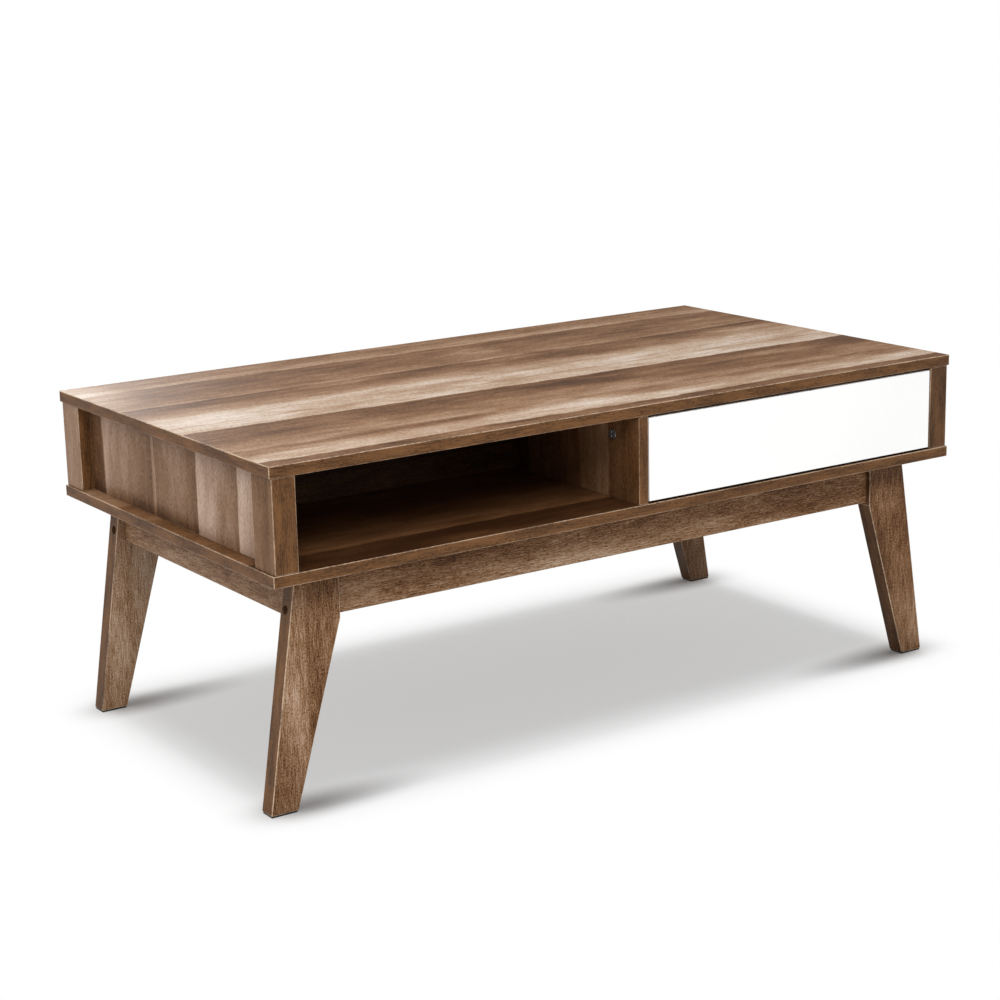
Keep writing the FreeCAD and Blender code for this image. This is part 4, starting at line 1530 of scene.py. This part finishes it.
    def latch(self) -> None:
        """Makes the push latch: a case on its flange, a plunger, and the strike plate on the drawer."""
        names = ("latch_housing", "latch_plunger", "strike_plate")
        node, plunger, strike = (f"{self.end}_{name}" for name in names)
        low, high = corners_of(node)
        pin_low, pin_high = corners_of(plunger)
        way = 1 if pin_low[1] < low[1] else -1
        case_low, case_high, flange_low, flange_high = low.copy(), high.copy(), low.copy(), high.copy()
        middle = (low[0] + high[0]) / 2
        case_low[0] = middle - self.case_width / 2
        case_high[0] = middle + self.case_width / 2
        if way > 0:
            flange_low[1] = high[1] - self.flange
        else:
            flange_high[1] = low[1] + self.flange
        case = box_plate(case_low, case_high, Axis.Y, self.case_rounding)
        flange = box_plate(flange_low, flange_high, Axis.Y, self.flange_rounding)
        add_piece(node + "_moulded", Shell.joined([case, flange]), [GREY_ABS, GREY_ABS], node)
        base = (pin_low + pin_high) / 2
        base[1] = pin_high[1] if way > 0 else pin_low[1]
        pin = seated(self.pin(pin_high - pin_low), Axis.Y, -way, base)
        add_piece(f"{self.end}_latch_pin", pin, [GREY_ABS, BLACK_PAD], plunger)
        plate = box_plate(*corners_of(strike), Axis.Y, self.thin_rounding)
        add_piece(f"{self.end}_strike_steel", plate, [ZINC_PLATE, ZINC_PLATE], strike)

    def pin(self, extent: np.ndarray) -> Shell:
        """Turns the latch's plunger: a pin, a groove and a soft bumper on its end.

        Args:
            extent: its size along each axis of the frame.
        Returns:
            The plunger, standing on its foot.
        """
        wide, length, step = extent[0] / 2, extent[1], self.pin_step
        neck = length - self.bumper
        radii = np.array([0, wide, wide, wide - step / 2, wide - step / 2, wide, wide, wide - step, 0])
        heights = np.array([0, 0, neck - step, neck - step, neck, neck, length - step, length, length])
        return turned(radii, heights, np.repeat([0, 1], 4))


class Hidden(Enum):
    """The finish of each CAD node that no piece stands for, by its record slot."""

    beech_dowels = BEECH
    zinc_fasteners = ZINC_PLATE


def dress_hidden() -> None:
    """Gives the CAD nodes that stay their finish: the dowels, cam bolts and barrel nuts inside the joints."""
    for node, piece in frame["nodes"].items():
        if piece.hide_render:
            continue
        finish = Hidden[SLOT_OF[node]].value
        piece.data.materials.clear()
        piece.data.materials.append(finish.material())
        LOG.info("%s: CAD node in %s", node, finish.name)


@dataclass(frozen=True)
class Softbox:
    """A square soft light that faces the table.

    Its level is what it adds to the brightness of a white card at the table that faces it.
    """

    name: str
    place: Triple
    size: float
    level: float
    aim: Triple = (0.0, 0.0, 0.35)

    def hang(self, lit: bpy.types.Collection) -> None:
        """Hangs the light.

        Args:
            lit: the group that says what it lights.
        """
        lamp = bpy.data.lights.new(self.name, "AREA")
        lamp.size = self.size
        beam = Vector(self.aim) - Vector(self.place)
        # A lamp of power P lights a white card at distance d that faces it to P / (pi d) squared.
        lamp.energy = self.level * math.pi ** 2 * beam.length_squared
        box = bpy.data.objects.new(self.name, lamp)
        box.rotation_euler = beam.to_track_quat("-Z", "Y").to_euler()
        box.location = self.place
        box.visible_camera = False
        box.light_linking.receiver_collection = lit
        bpy.context.scene.collection.objects.link(box)


class Lit(Enum):
    """What a lamp lights, as a link state of the floor."""

    FLOOR = "INCLUDE"
    TABLE = "EXCLUDE"


@dataclass(frozen=True)
class Studio:
    """A pale floor, soft lights and the photograph's camera.

    The floor has a light of its own from straight above, so that the table's shadow is an even field between
    the feet. The shadow's edges are where the floor turns white along X and along Y.
    """

    focal_px: float = 2242.6
    frame_px: float = 1000.0
    sensor_mm: float = 36.0
    yaw: float = 33.921
    pitch: float = -13.971
    roll: float = -1.328
    eye: Triple = (-1.7418, -2.5519, 1.0349)
    ambient: float = 0.34
    table_lights: tuple[Softbox, ...] = (
        Softbox("top_softbox", (-0.3, -0.5, 3.4), 1.2, 0.22),
        Softbox("left_softbox", (-2.4, -0.4, 2.2), 1.1, 0.25),
        Softbox("front_softbox", (-1.4, -2.5, 2.8), 1.6, 0.6),
        Softbox("rear_softbox", (0.45, 3.4, 1.2), 1.1, 0.45),
    )
    floor_light: Softbox = Softbox("floor_softbox", (0.0, 0.0, 6.0), 2.0, 1.18)
    floor_size: float = 60.0
    floor_colour: str = "#f4f4f4"
    floor_roughness: float = 0.9
    floor_lift: float = 0.49
    shadow_middle: Triple = (0.012, 0.02, 0.0)
    shadow_edges: tuple[Pair, Pair] = ((0.48, 0.63), (0.19, 0.375))
    foot_at: Pair = (0.535, 0.245)
    foot_shadow_half: Triple = (0.26, 0.06, 1.0)

    def camera(self) -> None:
        """Places the camera by its angles, looking down on the table's left front corner."""
        yaw, pitch, roll = (math.radians(angle) for angle in (self.yaw, self.pitch, self.roll))
        level = np.array([math.cos(yaw), -math.sin(yaw), 0.0])
        ahead = np.array([math.sin(yaw), math.cos(yaw), 0.0])
        forward = math.cos(pitch) * ahead + math.sin(pitch) * np.array([0.0, 0.0, 1.0])
        upward = np.cross(level, forward)
        right = math.cos(roll) * level + math.sin(roll) * upward
        up = math.cos(roll) * upward - math.sin(roll) * level
        turn = np.eye(4)
        turn[:3] = np.stack([right, up, -forward, np.array(self.eye)], 1)
        lens = bpy.data.cameras.new("photo_camera")
        lens.sensor_width = self.sensor_mm
        lens.lens = self.focal_px * self.sensor_mm / self.frame_px
        eye = bpy.data.objects.new("photo_camera", lens)
        eye.matrix_world = Matrix(turn.tolist())
        bpy.context.scene.collection.objects.link(eye)
        bpy.context.scene.camera = eye

    def seen(self, graph: Graph) -> bpy.types.Node:
        """Tells what the camera sees, straight or in gloss or glass, from light that falls on the table.

        Args:
            graph: the tree that asks.
        Returns:
            The node that gives 1 for what is seen and 0 for the light.
        """
        path = graph.add("LightPath").outputs
        seen = graph.add("Math", (path["Is Camera Ray"], path["Is Glossy Ray"]), operation="MAXIMUM")
        return graph.add("Math", (seen, path["Is Transmission Ray"]), operation="MAXIMUM")

    def white_share(self, graph: Graph) -> bpy.types.Node:
        """Says how much plain white the floor shows: all beyond the shadow, less in it, none at a foot.

        Args:
            graph: the floor's material.
        Returns:
            The node that gives the share.
        """
        place = graph.add("TexCoord").outputs["Object"]
        moved = graph.add("VectorMath", (place, self.shadow_middle), operation="SUBTRACT")
        offset = graph.add("SeparateXYZ", (graph.add("VectorMath", (moved,), operation="ABSOLUTE"),)).outputs
        along, across = (
            graph.add("MapRange", (offset[axis.value], *edge, 1.0, 0.0), interpolation_type="SMOOTHSTEP")
            for axis, edge in zip(Axis, self.shadow_edges)
        )
        near = graph.add("Math", (along, across), operation="MULTIPLY")
        white = graph.add("MapRange", {0: near, 3: 1.0, 4: self.floor_lift})
        x, y = self.foot_at
        for foot in ((-x, -y, 0), (x, -y, 0), (-x, y, 0), (x, y, 0)):
            streak = graph.spot(place, foot, self.foot_shadow_half, 0.0)
            within = graph.add("Math", (streak, along), operation="MULTIPLY")
            clear = graph.add("Math", (1.0, within), operation="SUBTRACT")
            white = graph.add("Math", (white, clear), operation="MULTIPLY")
        return white

    def floor(self) -> bpy.types.Object:
        """Lays a pale floor that keeps the shadow, softened by plain white, and is clear from below.

        Returns:
            The floor.
        """
        half = self.floor_size / 2
        corners = [(-half, -half, 0), (half, -half, 0), (half, half, 0), (-half, half, 0)]
        mesh = bpy.data.meshes.new("studio_floor")
        mesh.from_pydata(corners, [], [(0, 1, 2, 3)])
        graph = MaterialGraph("pale_floor")
        colour = linear(self.floor_colour)
        paint = {"Base Color": colour, "Roughness": self.floor_roughness, "Specular IOR Level": 0.0}
        graph.feed(graph.shader, paint)
        share = graph.add("Math", (self.seen(graph), self.white_share(graph)), operation="MULTIPLY")
        lifted = graph.add("MixShader", (share, graph.shader, graph.add("Emission")))
        below = graph.add("NewGeometry").outputs["Backfacing"]
        open_below = graph.add("MixShader", (below, lifted, graph.add("BsdfTransparent")))
        graph.feed(graph.output, {"Surface": open_below})
        mesh.materials.append(graph.material)
        piece = bpy.data.objects.new("studio_floor", mesh)
        bpy.context.scene.collection.objects.link(piece)
        return piece

    def receivers(self, name: str, floor: bpy.types.Object, lit: Lit) -> bpy.types.Collection:
        """Groups the floor for a lamp that lights only it, or all but it.

        Args:
            name: the group's name.
            floor: the floor.
            lit: what the lamp lights.
        Returns:
            The group.
        """
        group = bpy.data.collections.new(name)
        group.objects.link(floor)
        group.collection_objects[0].light_linking.link_state = lit.value
        return group

    def world(self) -> None:
        """Lights the studio evenly, with a white background for the eye and for reflections."""
        world = bpy.data.worlds.new("studio")
        graph = Graph(world)
        light, white = (
            graph.add("Background", {"Color": (1, 1, 1, 1), "Strength": strength})
            for strength in (self.ambient, 1.0)
        )
        graph.add("OutputWorld", {"Surface": graph.add("MixShader", (self.seen(graph), light, white))})
        bpy.context.scene.world = world

    def build(self) -> None:
        """Sets up the whole studio."""
        bpy.context.scene.view_settings.view_transform = "Standard"
        self.camera()
        self.world()
        floor = self.floor()
        table = self.receivers("lit_table", floor, Lit.TABLE)
        for light in self.table_lights:
            light.hang(table)
        self.floor_light.hang(self.receivers("lit_floor", floor, Lit.FLOOR))


def main() -> None:
    """Builds the table's sub-assemblies in order, then the studio."""
    logging.basicConfig(level=logging.INFO, format="%(message)s")
    Cabinet().build()
    Base().build()
    for end in End:
        Drawer(end).build()
    Fastenings().build()
    dress_hidden()
    Studio().build()


if __name__ == "__main__":
    main()
